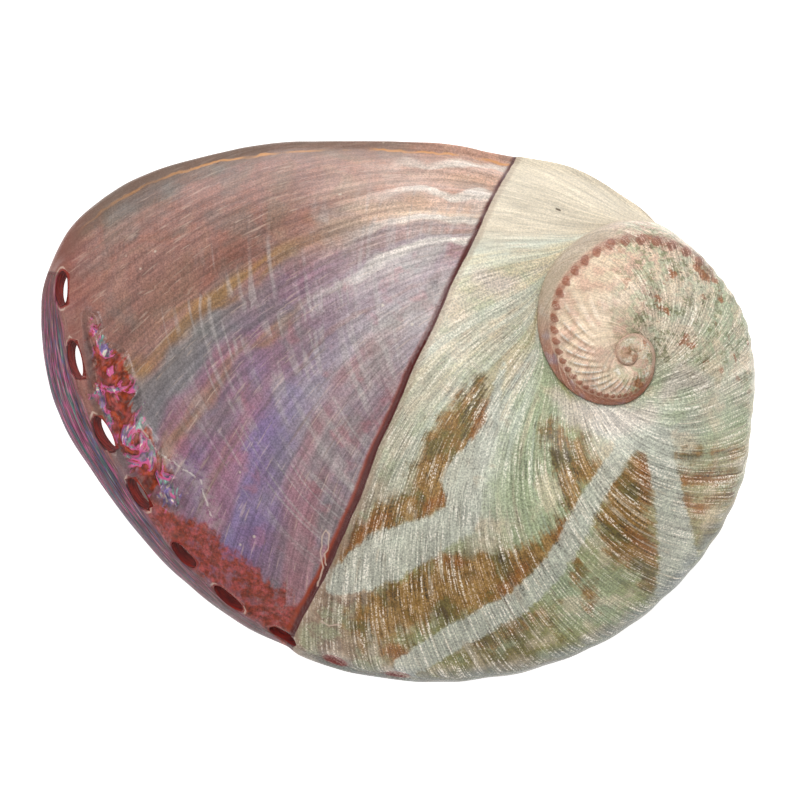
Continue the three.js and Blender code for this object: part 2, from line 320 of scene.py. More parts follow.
def flank_end(coil):
    last_turn = coil <= LIP_ANGLE + TURN
    return (
        np.where(last_turn, outline_radius(coil) - rim_inset(coil), suture_radius(coil - TURN)),
        np.where(last_turn, RIM_HEIGHT, suture_height(coil - TURN)),
    )


def plain_profile(coil, across):
    """Radius and height of the back (across 0 to 1, suture to shoulder) and the flank (1 to 2)."""
    suture, high = suture_radius(coil), suture_height(coil)
    top_r, top_z = shoulder_radius(coil), shoulder_height(coil)
    s = np.clip(across, 0, 1)
    back_r = lerp(suture, top_r, s)
    back_z = top_z + (high - top_z) * (1 - s**BACK_FALL) + arch(coil) * s * (1 - s)
    end_r, end_z = flank_end(coil)
    top_weight, end_weight = (1 - WIDEST_SHARE) ** 3, WIDEST_SHARE**3
    bulge = (turn_radius(coil) - top_weight * top_r - end_weight * end_r) / (1 - top_weight - end_weight)
    drop = top_z - end_z
    t = np.clip(across - 1, 0, 1)
    a, b, c, d = (1 - t) ** 3, 3 * (1 - t) ** 2 * t, 3 * (1 - t) * t * t, t**3
    flank_r = a * top_r + (b + c) * bulge + d * end_r
    flank_z = a * top_z + b * (top_z - FLANK_SAG * drop) + c * (end_z + FLANK_LIFT * drop) + d * end_z
    on_back = across <= 1
    return np.where(on_back, back_r, flank_r), np.where(on_back, back_z, flank_z)


def profile(coil, across):
    """The plain profile with its shoulder rounded off."""
    top_r, top_z = shoulder_radius(coil), shoulder_height(coil)
    end_r, end_z = flank_end(coil)
    back_length = np.maximum(top_r - suture_radius(coil), 0.01)
    flank_length = np.maximum(np.hypot(top_r - end_r, top_z - end_z), 0.01)
    per_mm = np.where(across < 1, 1 / back_length, 1 / flank_length)
    arc = (across - 1) / per_mm
    reach = np.minimum(2.2, 0.2 * np.minimum(back_length, flank_length * 2))
    step = 0.5 * reach * bell(arc, 1.6 * reach)
    r, z = 0.0, 0.0
    for offset, weight in ROUNDING:
        moved = arc + offset * step
        there = 1 + np.where(moved < 0, moved / back_length, moved / flank_length)
        some_r, some_z = plain_profile(coil, np.clip(there, 0, 2))
        r, z = r + weight * some_r, z + weight * some_z
    return r, z


def place(coil, r, z):
    angle = np.radians(coil)
    return np.stack([APEX_X + r * np.cos(angle), APEX_Y + r * np.sin(angle), z + 0 * r], axis=-1)


def plain_surface(coil, across):
    return place(coil, *profile(coil, across))


def outward(coil, across):
    """Unit normals of the plain surface."""
    ahead, behind = plain_surface(coil + 0.15, across), plain_surface(coil - 0.15, across)
    out = plain_surface(coil, np.minimum(across + 0.004, 2.0))
    back = plain_surface(coil, np.maximum(across - 0.004, 0.0))
    normal = np.cross(out - back, ahead - behind)
    return normal / np.maximum(np.linalg.norm(normal, axis=-1, keepdims=True), 1e-9)


def growth_share(coil, across, r):
    """How far a point lies from suture to row of holes, with the row carried on past the lip."""
    suture = suture_radius(coil)
    share = (r - suture) / np.maximum(row_radius(coil) - suture, 0.01)
    return np.where(coil < ROW_START, np.minimum(share, 1.0), across)


def growth_line(coil, share):
    back = np.clip(share, 0, 1) ** SWEEP_POWER * SWEEP
    return coil - back - np.clip(share - 1, 0, 1) * FLANK_SWEEP


def layer_side(x, y):
    """Distance in mm from the outer layer's edge, positive on the layer."""
    return EDGE_LEAN * (x - layer_edge(y) - EDGE_RIPPLE * np.sin(y * 0.45 + 1.3))


def rim_distance(x, y):
    """Distance in mm from the outline of the last turn, positive inside it."""
    coil = LIP_ANGLE + np.mod(np.degrees(np.arctan2(y - APEX_Y, x - APEX_X)) - LIP_ANGLE, TURN)
    radius = outline_radius(coil)
    lean = np.degrees(outline_radius(coil + 0.5) - outline_radius(coil - 0.5)) / np.maximum(radius, 1)
    return (radius - np.hypot(x - APEX_X, y - APEX_Y)) / np.hypot(1, lean)


def strip_depth(x, y, strips):
    """How deep a point lies inside any of the strips, in mm, negative outside."""
    depth = np.full_like(x, -FAR_AWAY)
    for strip in strips:
        for (ax, ay, a_half), (bx, by, b_half) in zip(strip, strip[1:]):
            length = (bx - ax) ** 2 + (by - ay) ** 2
            t = np.clip(((x - ax) * (bx - ax) + (y - ay) * (by - ay)) / length, 0, 1)
            away = np.hypot(x - ax - t * (bx - ax), y - ay - t * (by - ay))
            depth = np.maximum(depth, lerp(a_half, b_half, t) - away)
    return depth


FIELDS = {
    "layer": layer_side,
    "rim": rim_distance,
    "band": lambda x, y: strip_depth(x, y, PALE_BANDS),
    "brown": lambda x, y: strip_depth(x, y, BROWN_PATCHES),
    "pearly": lambda x, y: strip_depth(x, y, PEARLY_PATCHES),
    "rust": lambda x, y: strip_depth(x, y, RUST_SPOTS),
    "brick": lambda x, y: strip_depth(x, y, BRICK_STRIP),
    "crumple": lambda x, y: strip_depth(x, y, CRUMPLE_STRIP),
}
NOT_THERE = {name: FAR_AWAY if name in ("layer", "rim") else -FAR_AWAY for name in FIELDS}


def hole_ring(coil, across, hole):
    """Distance from a hole's middle over the surface, 1 at its edge."""
    angle, length, width = hole
    middle, ahead = (
        place(at, shoulder_radius(at) + HOLE_OFFSET, shoulder_height(at)) for at in (angle, angle + 0.5)
    )
    along = (ahead - middle) / np.linalg.norm(ahead - middle)
    points = plain_surface(coil, across) - middle
    lengthways = points @ along
    crossways = np.sqrt(np.maximum((points**2).sum(axis=-1) - lengthways**2, 0))
    return np.hypot(lengthways / (length / 2), crossways / (width / 2))


def nearest_ring(coil, across, holes):
    return np.minimum.reduce([hole_ring(coil, across, hole) for hole in holes])


def relief(coil, across, shape):
    """How far the surface stands out from the plain coil, in mm. The shape's own heights are in metres."""
    r, z = profile(coil, across)
    point = place(coil, r, z)
    x, y = point[..., 0], point[..., 1]
    side = layer_side(x, y)
    share = growth_share(coil, across, r)
    line = growth_line(coil, share)
    last_turn = coil <= LIP_ANGLE + TURN
    nacre = last_turn * smoothstep(1.0, -1.4, side)

    folds = np.cos((line - FIRST_FOLD) * 2 * np.pi / FOLD_STEP)
    folds = folds * smoothstep(79, 82, line) * smoothstep(107, 98, line)
    folds = folds * smoothstep(0.07, 0.15, share) * smoothstep(0.42, 0.16, share)
    height = shape.fold_height * nacre * folds

    fade = bell(side, 7.0)
    stepped = 0.25 * (1 - nacre) * last_turn - nacre
    height = height + shape.step_height * fade * stepped

    ring = nearest_ring(coil, across, HOLES)
    height = height + shape.collar_height * bell(ring - 1.35, 0.45)
    row = bell((across - 1) * 6, 1.2) * smoothstep(166, 174, coil) * last_turn
    height = height + 0.5 * shape.collar_height * row
    for hole in SEALED_HOLES:
        height = height - shape.sealed_depth * bell(hole_ring(coil, across, hole), 0.9)

    bead = (coil - FIRST_BEAD) / BEAD_STEP
    bead_angle = (bead - np.round(bead)) * BEAD_STEP
    radius = np.maximum(r, 0.5)
    along = np.radians(bead_angle) / BEAD_LENGTH
    away = (r - shoulder_radius(coil) + 0.02 * radius) / (0.05 * radius)
    size = np.minimum(1.0, 0.055 * radius)
    height = height + shape.bead_height * size * bell(np.hypot(along, away), 1.0) * smoothstep(236, 243, coil)

    pleats = np.cos((coil + PLEAT_SLANT * across) * 2 * np.pi / PLEAT_STEP) * smoothstep(0.3, 0.5, across)
    pleats = pleats * smoothstep(0.95, 0.82, across) * smoothstep(470, 520, coil) * smoothstep(790, 720, coil)
    height = height + shape.pleat_height * np.minimum(1.0, radius / 10) * pleats

    waves = (
        noise.noise(Vector(p) / BROAD_WAVE) + 0.4 * noise.noise(Vector(p) / SHORT_WAVE)
        for p in point.reshape(-1, 3)
    )
    unevenness = np.fromiter(waves, dtype=float, count=coil.size).reshape(coil.shape)
    height = height + shape.unevenness * unevenness * last_turn

    fade_ends = smoothstep(0.0, 0.05, across) * smoothstep(2.0, 1.8, across)
    return height / MM * fade_ends * smoothstep(LIP_ANGLE + 1, LIP_ANGLE + 12, coil)


def relief_surface(coil, across, shape):
    surface = plain_surface(coil, across) + outward(coil, across) * relief(coil, across, shape)[..., None]
    low, high = np.array(CAD_LOW) / MM, np.array(CAD_HIGH) / MM
    return np.clip(surface, low, high)


def height_above(x, y):
    """Height of the plain back straight above a point, measured from the apex in plan, and 0 outside."""
    r = np.hypot(x, y)
    coil = LIP_ANGLE + np.mod(np.degrees(np.arctan2(y, x)) - LIP_ANGLE, TURN)
    outside = r >= outline_radius(coil)
    coil = np.where(r < suture_radius(coil), coil + TURN, coil)
    suture, shoulder, edge = suture_radius(coil), shoulder_radius(coil), turn_radius(coil)
    middle = lerp(APEX_HEIGHT, suture_height(coil), np.clip(r / suture, 0, 1))
    share = (r - suture) / np.maximum(shoulder - suture, 1e-6)
    back = plain_profile(coil, np.clip(share, 0, 1))[1]
    top = shoulder_height(coil)
    widest = np.where(coil <= LIP_ANGLE + TURN, lerp(RIM_HEIGHT, top, WIDEST_SHARE), flank_end(coil)[1])
    beyond = np.clip((r - shoulder) / np.maximum(edge - shoulder, 1e-6), 0, 1)
    flank = lerp(top, widest, beyond**2)
    height = np.where(r < suture, middle, np.where(r < shoulder, back, flank))
    return np.where(outside, 0, height)


def bowl_height(x, y):
    """The bowl above a point: the highest place where a ball as thick as the wall fits under the back."""
    height = height_above(x, y) - WALL
    for tilt in np.radians(np.linspace(15, 90, 6)):
        for turn in np.linspace(0, 2 * np.pi, 32, endpoint=False):
            reach = WALL * math.sin(tilt)
            above = height_above(x + reach * math.cos(turn), y + reach * math.sin(turn))
            height = np.minimum(height, above - WALL * math.cos(tilt))
    return height


def ray_angles(shape):
    """Angles of the rays over the last turn, close together where the shell is long."""
    parts = [
        np.linspace(start, end, 4 * round(shape.rays * part / 4), endpoint=False)
        for start, end, part in RAY_RUNS
    ]
    return np.append(np.concatenate(parts), LIP_ANGLE + TURN)


def columns(shape):
    """Places across a turn, from suture (0) over the shoulder (1) to the flank's end (2)."""
    back = np.linspace(0, 1, shape.back_columns + 1)
    return np.append(back, 1 + np.linspace(0, 1, shape.flank_columns + 1)[1:])


def shell_material(name):
    return bpy.data.materials.get(name) or bpy.data.materials.new(name)


def wrap_grid(name, points, maps, fields):
    """Adds a grid and wraps it onto the points, an array of rays by columns, in mm."""
    rays, across = points.shape[:2]
    bpy.ops.mesh.primitive_grid_add(x_subdivisions=across - 1, y_subdivisions=rays - 1, size=2 * MM)
    grid = bpy.context.object
    grid.name = name
    mesh = grid.data
    mesh.vertices.foreach_set("co", (points * MM).astype(np.float32).ravel())
    corners = np.empty(len(mesh.loops), dtype=np.int32)
    mesh.loops.foreach_get("vertex_index", corners)
    mesh.uv_layers[0].name = "growth"
    mesh.uv_layers.new(name="coil")
    for layer, values in zip(mesh.uv_layers, maps):
        layer.data.foreach_set("uv", values.reshape(-1, 2)[corners].astype(np.float32).ravel())
    for field, values in fields.items():
        attribute = mesh.attributes.new(field, "FLOAT", "POINT")
        attribute.data.foreach_set("value", values.astype(np.float32).ravel())
    for finish in ("shell_back", "shell_bowl"):
        mesh.materials.append(shell_material(finish))
    mesh.update()
    return grid


def match_next_turn(points, columns_above):
    """Draws every second point of the suture and last ray to its neighbour, as the next grid is coarser."""
    points[1::2, 0] = points[:-1:2, 0]
    points[-1, 1:columns_above:2] = points[-1, : columns_above - 1 : 2]


def coil_grid(name, coil, across, shape, below=None, goes_on=True):
    """A grid over a stretch of the coil, and over the rim and bowl below its flank where they are given."""
    coil, across = np.meshgrid(coil, across, indexing="ij")
    points = relief_surface(coil, across, shape)
    points[:, 0] = place(coil[:, 0], suture_radius(coil[:, 0]), suture_height(coil[:, 0]))
    points[:, -1] = place(coil[:, -1], *flank_end(coil[:, -1]))
    share = growth_share(coil, across, profile(coil, across)[0])
    growth = np.stack([growth_line(coil, share) / LINE_SCALE, share], axis=-1)
    turn = np.stack([coil / COIL_SCALE, 0 * coil], axis=-1)
    columns_above = points.shape[1]
    if below is not None:
        points[0] = points[0, -1]
        below_growth = np.broadcast_to(growth[:, -1:, :], below.shape[:2] + (2,))
        steps = np.diff(np.concatenate([points[:, -1:], below], axis=1), axis=1)
        inside = np.cumsum(np.linalg.norm(steps, axis=-1), axis=1)
        below_coil = np.broadcast_to(turn[:, -1:, 0], inside.shape)
        below_turn = np.stack([below_coil, inside / INSIDE_SCALE], axis=-1)
        points = np.concatenate([points, below], axis=1)
        growth = np.concatenate([growth, below_growth], axis=1)
        turn = np.concatenate([turn, below_turn], axis=1)
    if goes_on:
        match_next_turn(points, columns_above)
    last_turn = below is not None
    x, y = points[..., 0], points[..., 1]
    fields = {
        field: find(x, y) if last_turn else np.full(x.shape, NOT_THERE[field])
        for field, find in FIELDS.items()
    }
    rings = nearest_ring(*np.meshgrid(coil[:, 0], across[0], indexing="ij"), HOLES + SEALED_HOLES)
    fields["ring"] = np.pad(rings, ((0, 0), (0, points.shape[1] - rings.shape[1])), mode="edge")
    grid = wrap_grid(name, points, (growth, turn), fields)
    if last_turn:
        corner = np.empty(len(grid.data.loops), dtype=np.int32)
        grid.data.loops.foreach_get("vertex_index", corner)
        column = (corner % points.shape[1]).reshape(-1, 4).min(axis=1)
        grid.data.polygons.foreach_set("material_index", (column >= columns_above - 1).astype(np.int32))
    return grid


def rim_and_bowl(coil, shape):
    """Points from the rim's outer edge under the flat rim, round the shelf and up the bowl to its middle."""
    foot = outline_radius(coil) - rim_inset(coil)
    edge = foot - shelf_width(coil)
    wall = outline_radius(coil) - WALL - 0.2
    shelf_share = (shelf_width(coil) - WALL) / (WIDEST_SHELF - WALL)
    top = lerp(RIM_ROUND, SHELF_THICKNESS, shelf_share)
    lip = np.minimum(edge + 0.5, wall + 0.05)
    flat = 0 * foot
    rows = [(foot - 0.1, flat + RIM_ROUND), (foot - RIM_ROUND, flat), (lerp(foot, edge, 0.5), flat)]
    rows += [(edge + RIM_ROUND, flat), (edge + 0.1, flat + 0.12), (edge, flat + RIM_ROUND)]
    rows += [(lip, top), (lerp(lip, wall, 0.5), top + 0.06)]
    for step in np.linspace(0, 1, shape.bowl_columns + 1):
        r = wall * (1 - step**1.4)
        x, y = r * np.cos(np.radians(coil)), r * np.sin(np.radians(coil))
        rows.append((r, np.maximum(bowl_height(x, y), top + 0.1)))
    return np.stack([place(coil, r, z) for r, z in rows], axis=1)


def deselect():
    bpy.ops.object.select_all(action="DESELECT")


def select_only(*objects):
    deselect()
    for piece in objects:
        piece.select_set(True)
    bpy.context.view_layer.objects.active = objects[0]


def coil_shell(shape):
    """The closed shell: the last turn with its rim and bowl, the spire's turn and the turn at the apex."""
    rays, across = ray_angles(shape), columns(shape)
    start, spire_start, apex_start = rays, rays[::2] + TURN, rays[::4] + 2 * TURN
    deselect()
    last = coil_grid("shell_last_turn", start, across, shape, rim_and_bowl(start, shape))
    spire = coil_grid("shell_spire", spire_start, across[::2], shape)
    tip = coil_grid("shell_apex", apex_start, across[::4], shape, goes_on=False)
    select_only(last, spire, tip)
    bpy.ops.object.join()
    shell = bpy.context.object
    shell.name = "shell_body"
    bpy.ops.object.mode_set(mode="EDIT")
    bpy.ops.mesh.select_all(action="SELECT")
    bpy.ops.mesh.remove_doubles(threshold=MERGE_DISTANCE * MM)
    bpy.ops.mesh.select_all(action="SELECT")
    bpy.ops.mesh.fill_holes(sides=0)
    bpy.ops.mesh.select_all(action="SELECT")
    bpy.ops.mesh.normals_make_consistent(inside=False)
    bpy.ops.object.mode_set(mode="OBJECT")
    return shell


def hole_cutter(hole):
    """A tapered oval plug standing along the surface's normal at one hole, with its length along the row."""
    coil, length, width = hole
    behind, middle, ahead = (
        place(angle, shoulder_radius(angle) + HOLE_OFFSET, shoulder_height(angle))
        for angle in (coil - 1, coil, coil + 1)
    )
    along = Vector(ahead - behind).normalized()
    across = Vector(place(coil, *plain_profile(coil, 1.3)) - place(coil, *plain_profile(coil, 0.97)))
    normal = along.cross(across).normalized()
    if normal.z < 0:
        normal.negate()
    across = normal.cross(along)
    bpy.ops.mesh.primitive_cone_add(
        vertices=HOLE_SIDES, depth=HOLE_DEPTH * MM,
        radius1=(0.5 - HOLE_TAPER) * MM, radius2=(0.5 + HOLE_TAPER) * MM,
    )
    plug = bpy.context.object
    turned = Matrix((along, across, along.cross(across))).transposed() @ Matrix.Diagonal((length, width, 1.0))
    plug.matrix_world = Matrix.Translation(Vector(middle) * MM) @ turned.to_4x4()
    bpy.ops.object.transform_apply(location=True, rotation=True, scale=True)
    plug.data.materials.append(shell_material("shell_hole_wall"))
    return plug


def pierce(shell):
    """Cuts the open breathing holes through the wall."""
    deselect()
    plugs = [hole_cutter(hole) for hole in HOLES]
    select_only(*plugs)
    bpy.ops.object.join()
    plug = bpy.context.object
    select_only(shell)
    cut = shell.modifiers.new("holes", "BOOLEAN")
    cut.operation = "DIFFERENCE"
    cut.solver = "EXACT"
    cut.material_mode = "TRANSFER"
    cut.object = plug
    bpy.ops.object.modifier_apply(modifier=cut.name)
    bpy.data.objects.remove(plug, do_unlink=True)


class Nodes:
    """Adds shader nodes to one tree and wires them up."""

    def __init__(self, tree, colours=None):
        self.tree = tree
        self.colours = colours

    def add(self, kind, **settings):
        node = self.tree.nodes.new("ShaderNode" + kind)
        for name, value in settings.items():
            setattr(node, name, value)
        return node

    def feed(self, socket, value):
        if isinstance(value, bpy.types.NodeSocket):
            self.tree.links.new(value, socket)
        else:
            socket.default_value = value

    def math(self, operation, *values):
        node = self.add("Math", operation=operation)
        for socket, value in zip(node.inputs, values):
            self.feed(socket, value)
        return node.outputs[0]

    def plus(self, *values):
        total = values[0]
        for value in values[1:]:
            total = self.math("ADD", total, value)
        return total

    def times(self, *values):
        total = values[0]
        for value in values[1:]:
            total = self.math("MULTIPLY", total, value)
        return total

    def span(self, value, low, high, at_low=0.0, at_high=1.0):
        """A smooth change from at_low to at_high as the value goes from low to high."""
        node = self.add("MapRange", interpolation_type="SMOOTHSTEP")
        for socket, given in zip(node.inputs, (value, low, high, at_low, at_high)):
            self.feed(socket, given)
        return node.outputs[0]

    def hump(self, value, middle, half, edge):
        """1 within half of the middle, falling to 0 over an edge."""
        away = self.math("ABSOLUTE", self.math("SUBTRACT", value, middle))
        return self.span(away, half + edge, half)

    def wave(self, value, first, step):
        """1 where the value is at first and at every step from it, and -1 halfway between."""
        past_first = self.math("SUBTRACT", value, first)
        return self.math("COSINE", self.times(past_first, 2 * math.pi / step))

    def vector(self, x, y, z=0.0):
        node = self.add("CombineXYZ")
        for socket, value in zip(node.inputs, (x, y, z)):
            self.feed(socket, value)
        return node.outputs[0]

    def split(self, vector):
        node = self.add("SeparateXYZ")
        self.feed(node.inputs[0], vector)
        return node.outputs[:3]

    def vector_math(self, operation, vector, other=None, scale=None):
        node = self.add("VectorMath", operation=operation)
        self.feed(node.inputs[0], vector)
        if other is not None:
            self.feed(node.inputs[1], other)
        if scale is not None:
            self.feed(node.inputs["Scale"], scale)
        return node.outputs["Value" if operation == "DISTANCE" else "Vector"]

    def dot(self, first, second):
        node = self.add("VectorMath", operation="DOT_PRODUCT")
        self.feed(node.inputs[0], first)
        self.feed(node.inputs[1], second)
        return node.outputs["Value"]

    def clamp(self, value):
        node = self.add("Clamp")
        self.feed(node.inputs[0], value)
        return node.outputs[0]

    def noise_vector(self, vector, scale):
        node = self.add("TexNoise")
        self.feed(node.inputs["Vector"], vector)
        self.feed(node.inputs["Scale"], scale)
        return node.outputs["Color"]

    def noise(self, vector, scale=1.0, detail=2.0, roughness=0.5, distortion=0.0):
        node = self.add("TexNoise")
        for name, value in (
            ("Vector", vector), ("Scale", scale), ("Detail", detail), ("Roughness", roughness),
            ("Distortion", distortion),
        ):
            self.feed(node.inputs[name], value)
        return node.outputs[0]

    def streaks(self, at, per_line, per_mm, seed, detail=2.0):
        """Noise drawn out along the growth lines."""
        return self.noise(
            self.vector(self.times(at.line, per_line), self.times(at.reach, per_mm), seed), detail=detail
        )

    def ridges(self, at, per_share, per_line, seed, **settings):
        """Noise drawn out along the coil, across the growth lines."""
        place = self.vector(self.times(at.share, per_share), self.times(at.line, per_line), seed)
        return self.noise(place, **settings)

    def patches(self, place, scale, low, high, **settings):
        """Patches of noise: 0 where it is at low, 1 where it is at high."""
        return self.span(self.noise(place, scale, **settings), low, high)

    def mix(self, share, below, above, blend="MIX"):
        node = self.add("Mix", data_type="RGBA", blend_type=blend)
        for index, value in ((0, share), (6, below), (7, above)):
            self.feed(node.inputs[index], value)
        return node.outputs[2]

    def number_mix(self, share, below, above):
        node = self.add("Mix", data_type="FLOAT")
        for index, value in ((0, share), (2, below), (3, above)):
            self.feed(node.inputs[index], value)
        return node.outputs[0]

    def shade(self, colour, value, low, high):
        """Darkens and lightens a colour as a value goes from 0 to 1."""
        node = self.add("MapRange", clamp=False)
        for socket, given in zip(node.inputs, (value, 0.0, 1.0, low, high)):
            self.feed(socket, given)
        return self.vector_math("SCALE", colour, scale=node.outputs[0])

    def tint(self, name):
        return (*getattr(self.colours, name), 1.0)

    def toward(self, colour, name, *shares):
        """Turns a colour towards a named one, by the shares multiplied together."""
        return self.mix(self.times(*shares), colour, self.tint(name))

    def ramp(self, value, stops):
        """Named colours at places along a value."""
        low, high = stops[0][0], stops[-1][0]
        share = self.math("DIVIDE", self.math("SUBTRACT", value, low), high - low)
        node = self.add("ValToRGB")
        self.feed(node.inputs[0], share)
        elements = node.color_ramp.elements
        elements.remove(elements[-1])
        for at, name in stops:
            element = elements[0] if at == low else elements.new((at - low) / (high - low))
            element.position = (at - low) / (high - low)
            element.color = self.tint(name)
        return node.outputs[0]

    def group(self, name, output=None, **inputs):
        node = self.add("Group", node_tree=bpy.data.node_groups[name])
        for socket, value in inputs.items():
            self.feed(node.inputs[socket], value)
        return node.outputs if output is None else node.outputs[output]


def new_group(name, inputs, outputs, colours=None):
    """A shader node group with named inputs and outputs, each of its kind, and the group's nodes."""
    tree = bpy.data.node_groups.new(name, "ShaderNodeTree")
    for socket, kind in inputs:
        tree.interface.new_socket(socket, in_out="INPUT", socket_type="NodeSocket" + kind)
    for socket, kind in outputs:
        tree.interface.new_socket(socket, in_out="OUTPUT", socket_type="NodeSocket" + kind)
    nodes = Nodes(tree, colours)
    return nodes, tree.nodes.new("NodeGroupInput").outputs, tree.nodes.new("NodeGroupOutput").inputs


def pearl_clouds(colours):
    """Soft clouds of the colours that mother-of-pearl turns through."""
    inputs = (("Position", "Vector"), ("Size", "Float"))
    outputs = (("Color", "Color"), ("Cloud", "Float"))
    nodes, given, made = new_group("Pearl Clouds", inputs, outputs, colours)
    scale = nodes.math("DIVIDE", 1.0, given["Size"])
    cloud = nodes.noise(given["Position"], scale, detail=3, roughness=0.55, distortion=0.6)
    stops = ((0.3, "cyan"), (0.42, "silver"), (0.5, "lavender"), (0.58, "pink"), (0.7, "gold"))
    nodes.feed(made["Color"], nodes.ramp(cloud, stops))
    nodes.feed(made["Cloud"], cloud)


def growth_grain():
    """Streaks and grain along the growth lines, as wide near the spire as far from it, and dust."""
    inputs = (("Line", "Float"), ("Reach", "Float"), ("Position", "Vector"))
    outputs = (("Streak", "Float"), ("Grain", "Float"), ("Dust", "Float"), ("Relief", "Float"))
    nodes, given, made = new_group("Growth Grain", inputs, outputs)
    line, reach = given["Line"], given["Reach"]

    def drawn_out(per_line, per_mm, seed):
        """Noise along the growth lines, at three widths for three distances from the apex."""
        widths = []
        for share in (0.25, 0.5, 1.0):
            crossways = nodes.times(line, per_line * share)
            place = nodes.vector(crossways, nodes.times(reach, per_mm), seed + share)
            widths.append(nodes.noise(place, detail=3, roughness=0.6))
        wide, middle, fine = widths
        near = nodes.number_mix(nodes.span(reach, 12.0, 20.0), wide, middle)
        return nodes.number_mix(nodes.span(reach, 26.0, 42.0), near, fine)

    streak = drawn_out(0.42, 0.05, 0.0)
    grain = drawn_out(3.0, 0.22, 3.0)
    dust = nodes.noise(given["Position"], 3.2, detail=2, roughness=0.6)
    nodes.feed(made["Streak"], nodes.span(streak, 0.32, 0.68))
    nodes.feed(made["Grain"], nodes.span(grain, 0.33, 0.67))
    nodes.feed(made["Dust"], nodes.span(dust, 0.32, 0.68))
    parts = (nodes.times(streak, 0.5), nodes.times(grain, 0.35), nodes.times(dust, 0.15))
    nodes.feed(made["Relief"], nodes.plus(*parts))


def speckles():
    """Small round pits, scattered, 1 in the middle of each."""
    inputs = (("Position", "Vector"), ("Size", "Float"), ("Share", "Float"))
    nodes, given, made = new_group("Speckles", inputs, (("Mask", "Float"),))
    cells = nodes.add("TexVoronoi")
    nodes.feed(cells.inputs["Vector"], given["Position"])
    nodes.feed(cells.inputs["Scale"], nodes.math("DIVIDE", 1.0, given["Size"]))
    chosen = nodes.math("LESS_THAN", nodes.split(cells.outputs["Color"])[0], given["Share"])
    nodes.feed(made["Mask"], nodes.times(chosen, nodes.span(cells.outputs["Distance"], 0.16, 0.07)))


def line_distance():
    """How far a point is from a straight line between two others, in plan."""
    inputs = (("Position", "Vector"), ("Start", "Vector"), ("End", "Vector"))
    nodes, given, made = new_group("Line Distance", inputs, (("Distance", "Float"),))
    flat = nodes.vector_math("MULTIPLY", given["Position"], (1.0, 1.0, 0.0))
    along = nodes.vector_math("SUBTRACT", given["End"], given["Start"])
    point = nodes.vector_math("SUBTRACT", flat, given["Start"])
    share = nodes.math("DIVIDE", nodes.dot(point, along), nodes.dot(along, along))
    nearest = nodes.vector_math("SCALE", along, scale=nodes.clamp(share))
    nodes.feed(made["Distance"], nodes.vector_math("DISTANCE", point, nearest))


def fine_mark(nodes, at, points, half):
    """1 on a fine line drawn through points in mm, given as (x, y)."""
    bent = nodes.vector_math("SUBTRACT", nodes.noise_vector(at.place, 0.5), (0.5, 0.5, 0.5))
    place = nodes.vector_math("ADD", at.place, nodes.vector_math("SCALE", bent, scale=0.8))
    distances = [
        nodes.group("Line Distance", "Distance", Position=place, Start=(*start, 0), End=(*end, 0))
        for start, end in zip(points, points[1:])
    ]
    nearest = distances[0]
    for distance in distances[1:]:
        nearest = nodes.math("MINIMUM", nearest, distance)
    return nodes.span(nearest, 1.8 * half, 0.5 * half)


def where(nodes):
    """What the markings are placed by: places and depths in mm, angles in degrees, and shares of a turn."""
    at = SimpleNamespace()
    at.place = nodes.vector_math("SCALE", nodes.add("TexCoord").outputs["Object"], scale=1 / MM)
    at.x, at.y = nodes.split(at.place)[:2]
    flat = nodes.vector_math("MULTIPLY", at.place, (1.0, 1.0, 0.0))
    at.reach = nodes.vector_math("DISTANCE", flat, (APEX_X, APEX_Y, 0.0))
    growth = nodes.split(nodes.add("UVMap", uv_map="growth").outputs[0])
    at.line, at.share = nodes.times(growth[0], LINE_SCALE), growth[1]
    coil = nodes.split(nodes.add("UVMap", uv_map="coil").outputs[0])
    at.coil, at.inside = nodes.times(coil[0], COIL_SCALE), nodes.times(coil[1], INSIDE_SCALE)
    for name in (*FIELDS, "ring"):
        setattr(at, name, nodes.add("Attribute", attribute_name=name).outputs["Fac"])
    return at


def ragged(nodes, at, field, reach, scale, soft):
    """A field's inside, with its edge made ragged by noise."""
    rough = nodes.math("SUBTRACT", nodes.noise(at.place, scale, detail=4, roughness=0.65), 0.5)
    drawn = nodes.math("SUBTRACT", nodes.streaks(at, 1.2, 0.15, 51.0, 3.0), 0.5)
    depth = nodes.plus(field, nodes.times(rough, reach), nodes.times(drawn, 0.7 * reach))
    return nodes.span(depth, -soft, soft)


FAR_NACRE = (
    (76, "lip"), (78, "lip"), (79, "rose"), (84, "rose"), (90, "russet"), (94, "rose"), (99, "plum"),
    (108, "plum"), (116, "lavender"), (124, "plum"), (132, "heather"), (140, "heather"),
)
NEAR_NACRE = (
    (76, "blush"), (83, "blush"), (86, "pale_pink"), (88.5, "blush"), (91, "pale_pink"), (94, "sand"),
    (96.5, "pale_pink"), (99, "heather_pale"), (103, "silver"), (109, "heather_pale"), (116, "silver"),
    (126, "heather"), (140, "heather"),
)
NEAR_LAYER = (
    (70, "cream"), (100, "cream"), (106, "mint"), (112, "straw"), (119, "cream"), (130, "straw_grey"),
    (142, "straw_grey"), (152, "olive_pale"), (160, "mint"), (174, "celadon"), (186, "celadon"),
    (200, "olive"), (222, "mint"), (240, "mint"), (280, "celadon"), (320, "straw_grey"), (360, "straw_grey"),
)
FAR_LAYER = (
    (124, "clay"), (135, "clay"), (148, "olive"), (158, "moss"), (168, "olive"), (176, "celadon"),
    (190, "olive"), (205, "olive_pale"), (225, "olive_pale"), (240, "celadon"), (262, "straw_grey"),
    (290, "celadon"), (325, "straw_grey"), (360, "straw_grey"),
)


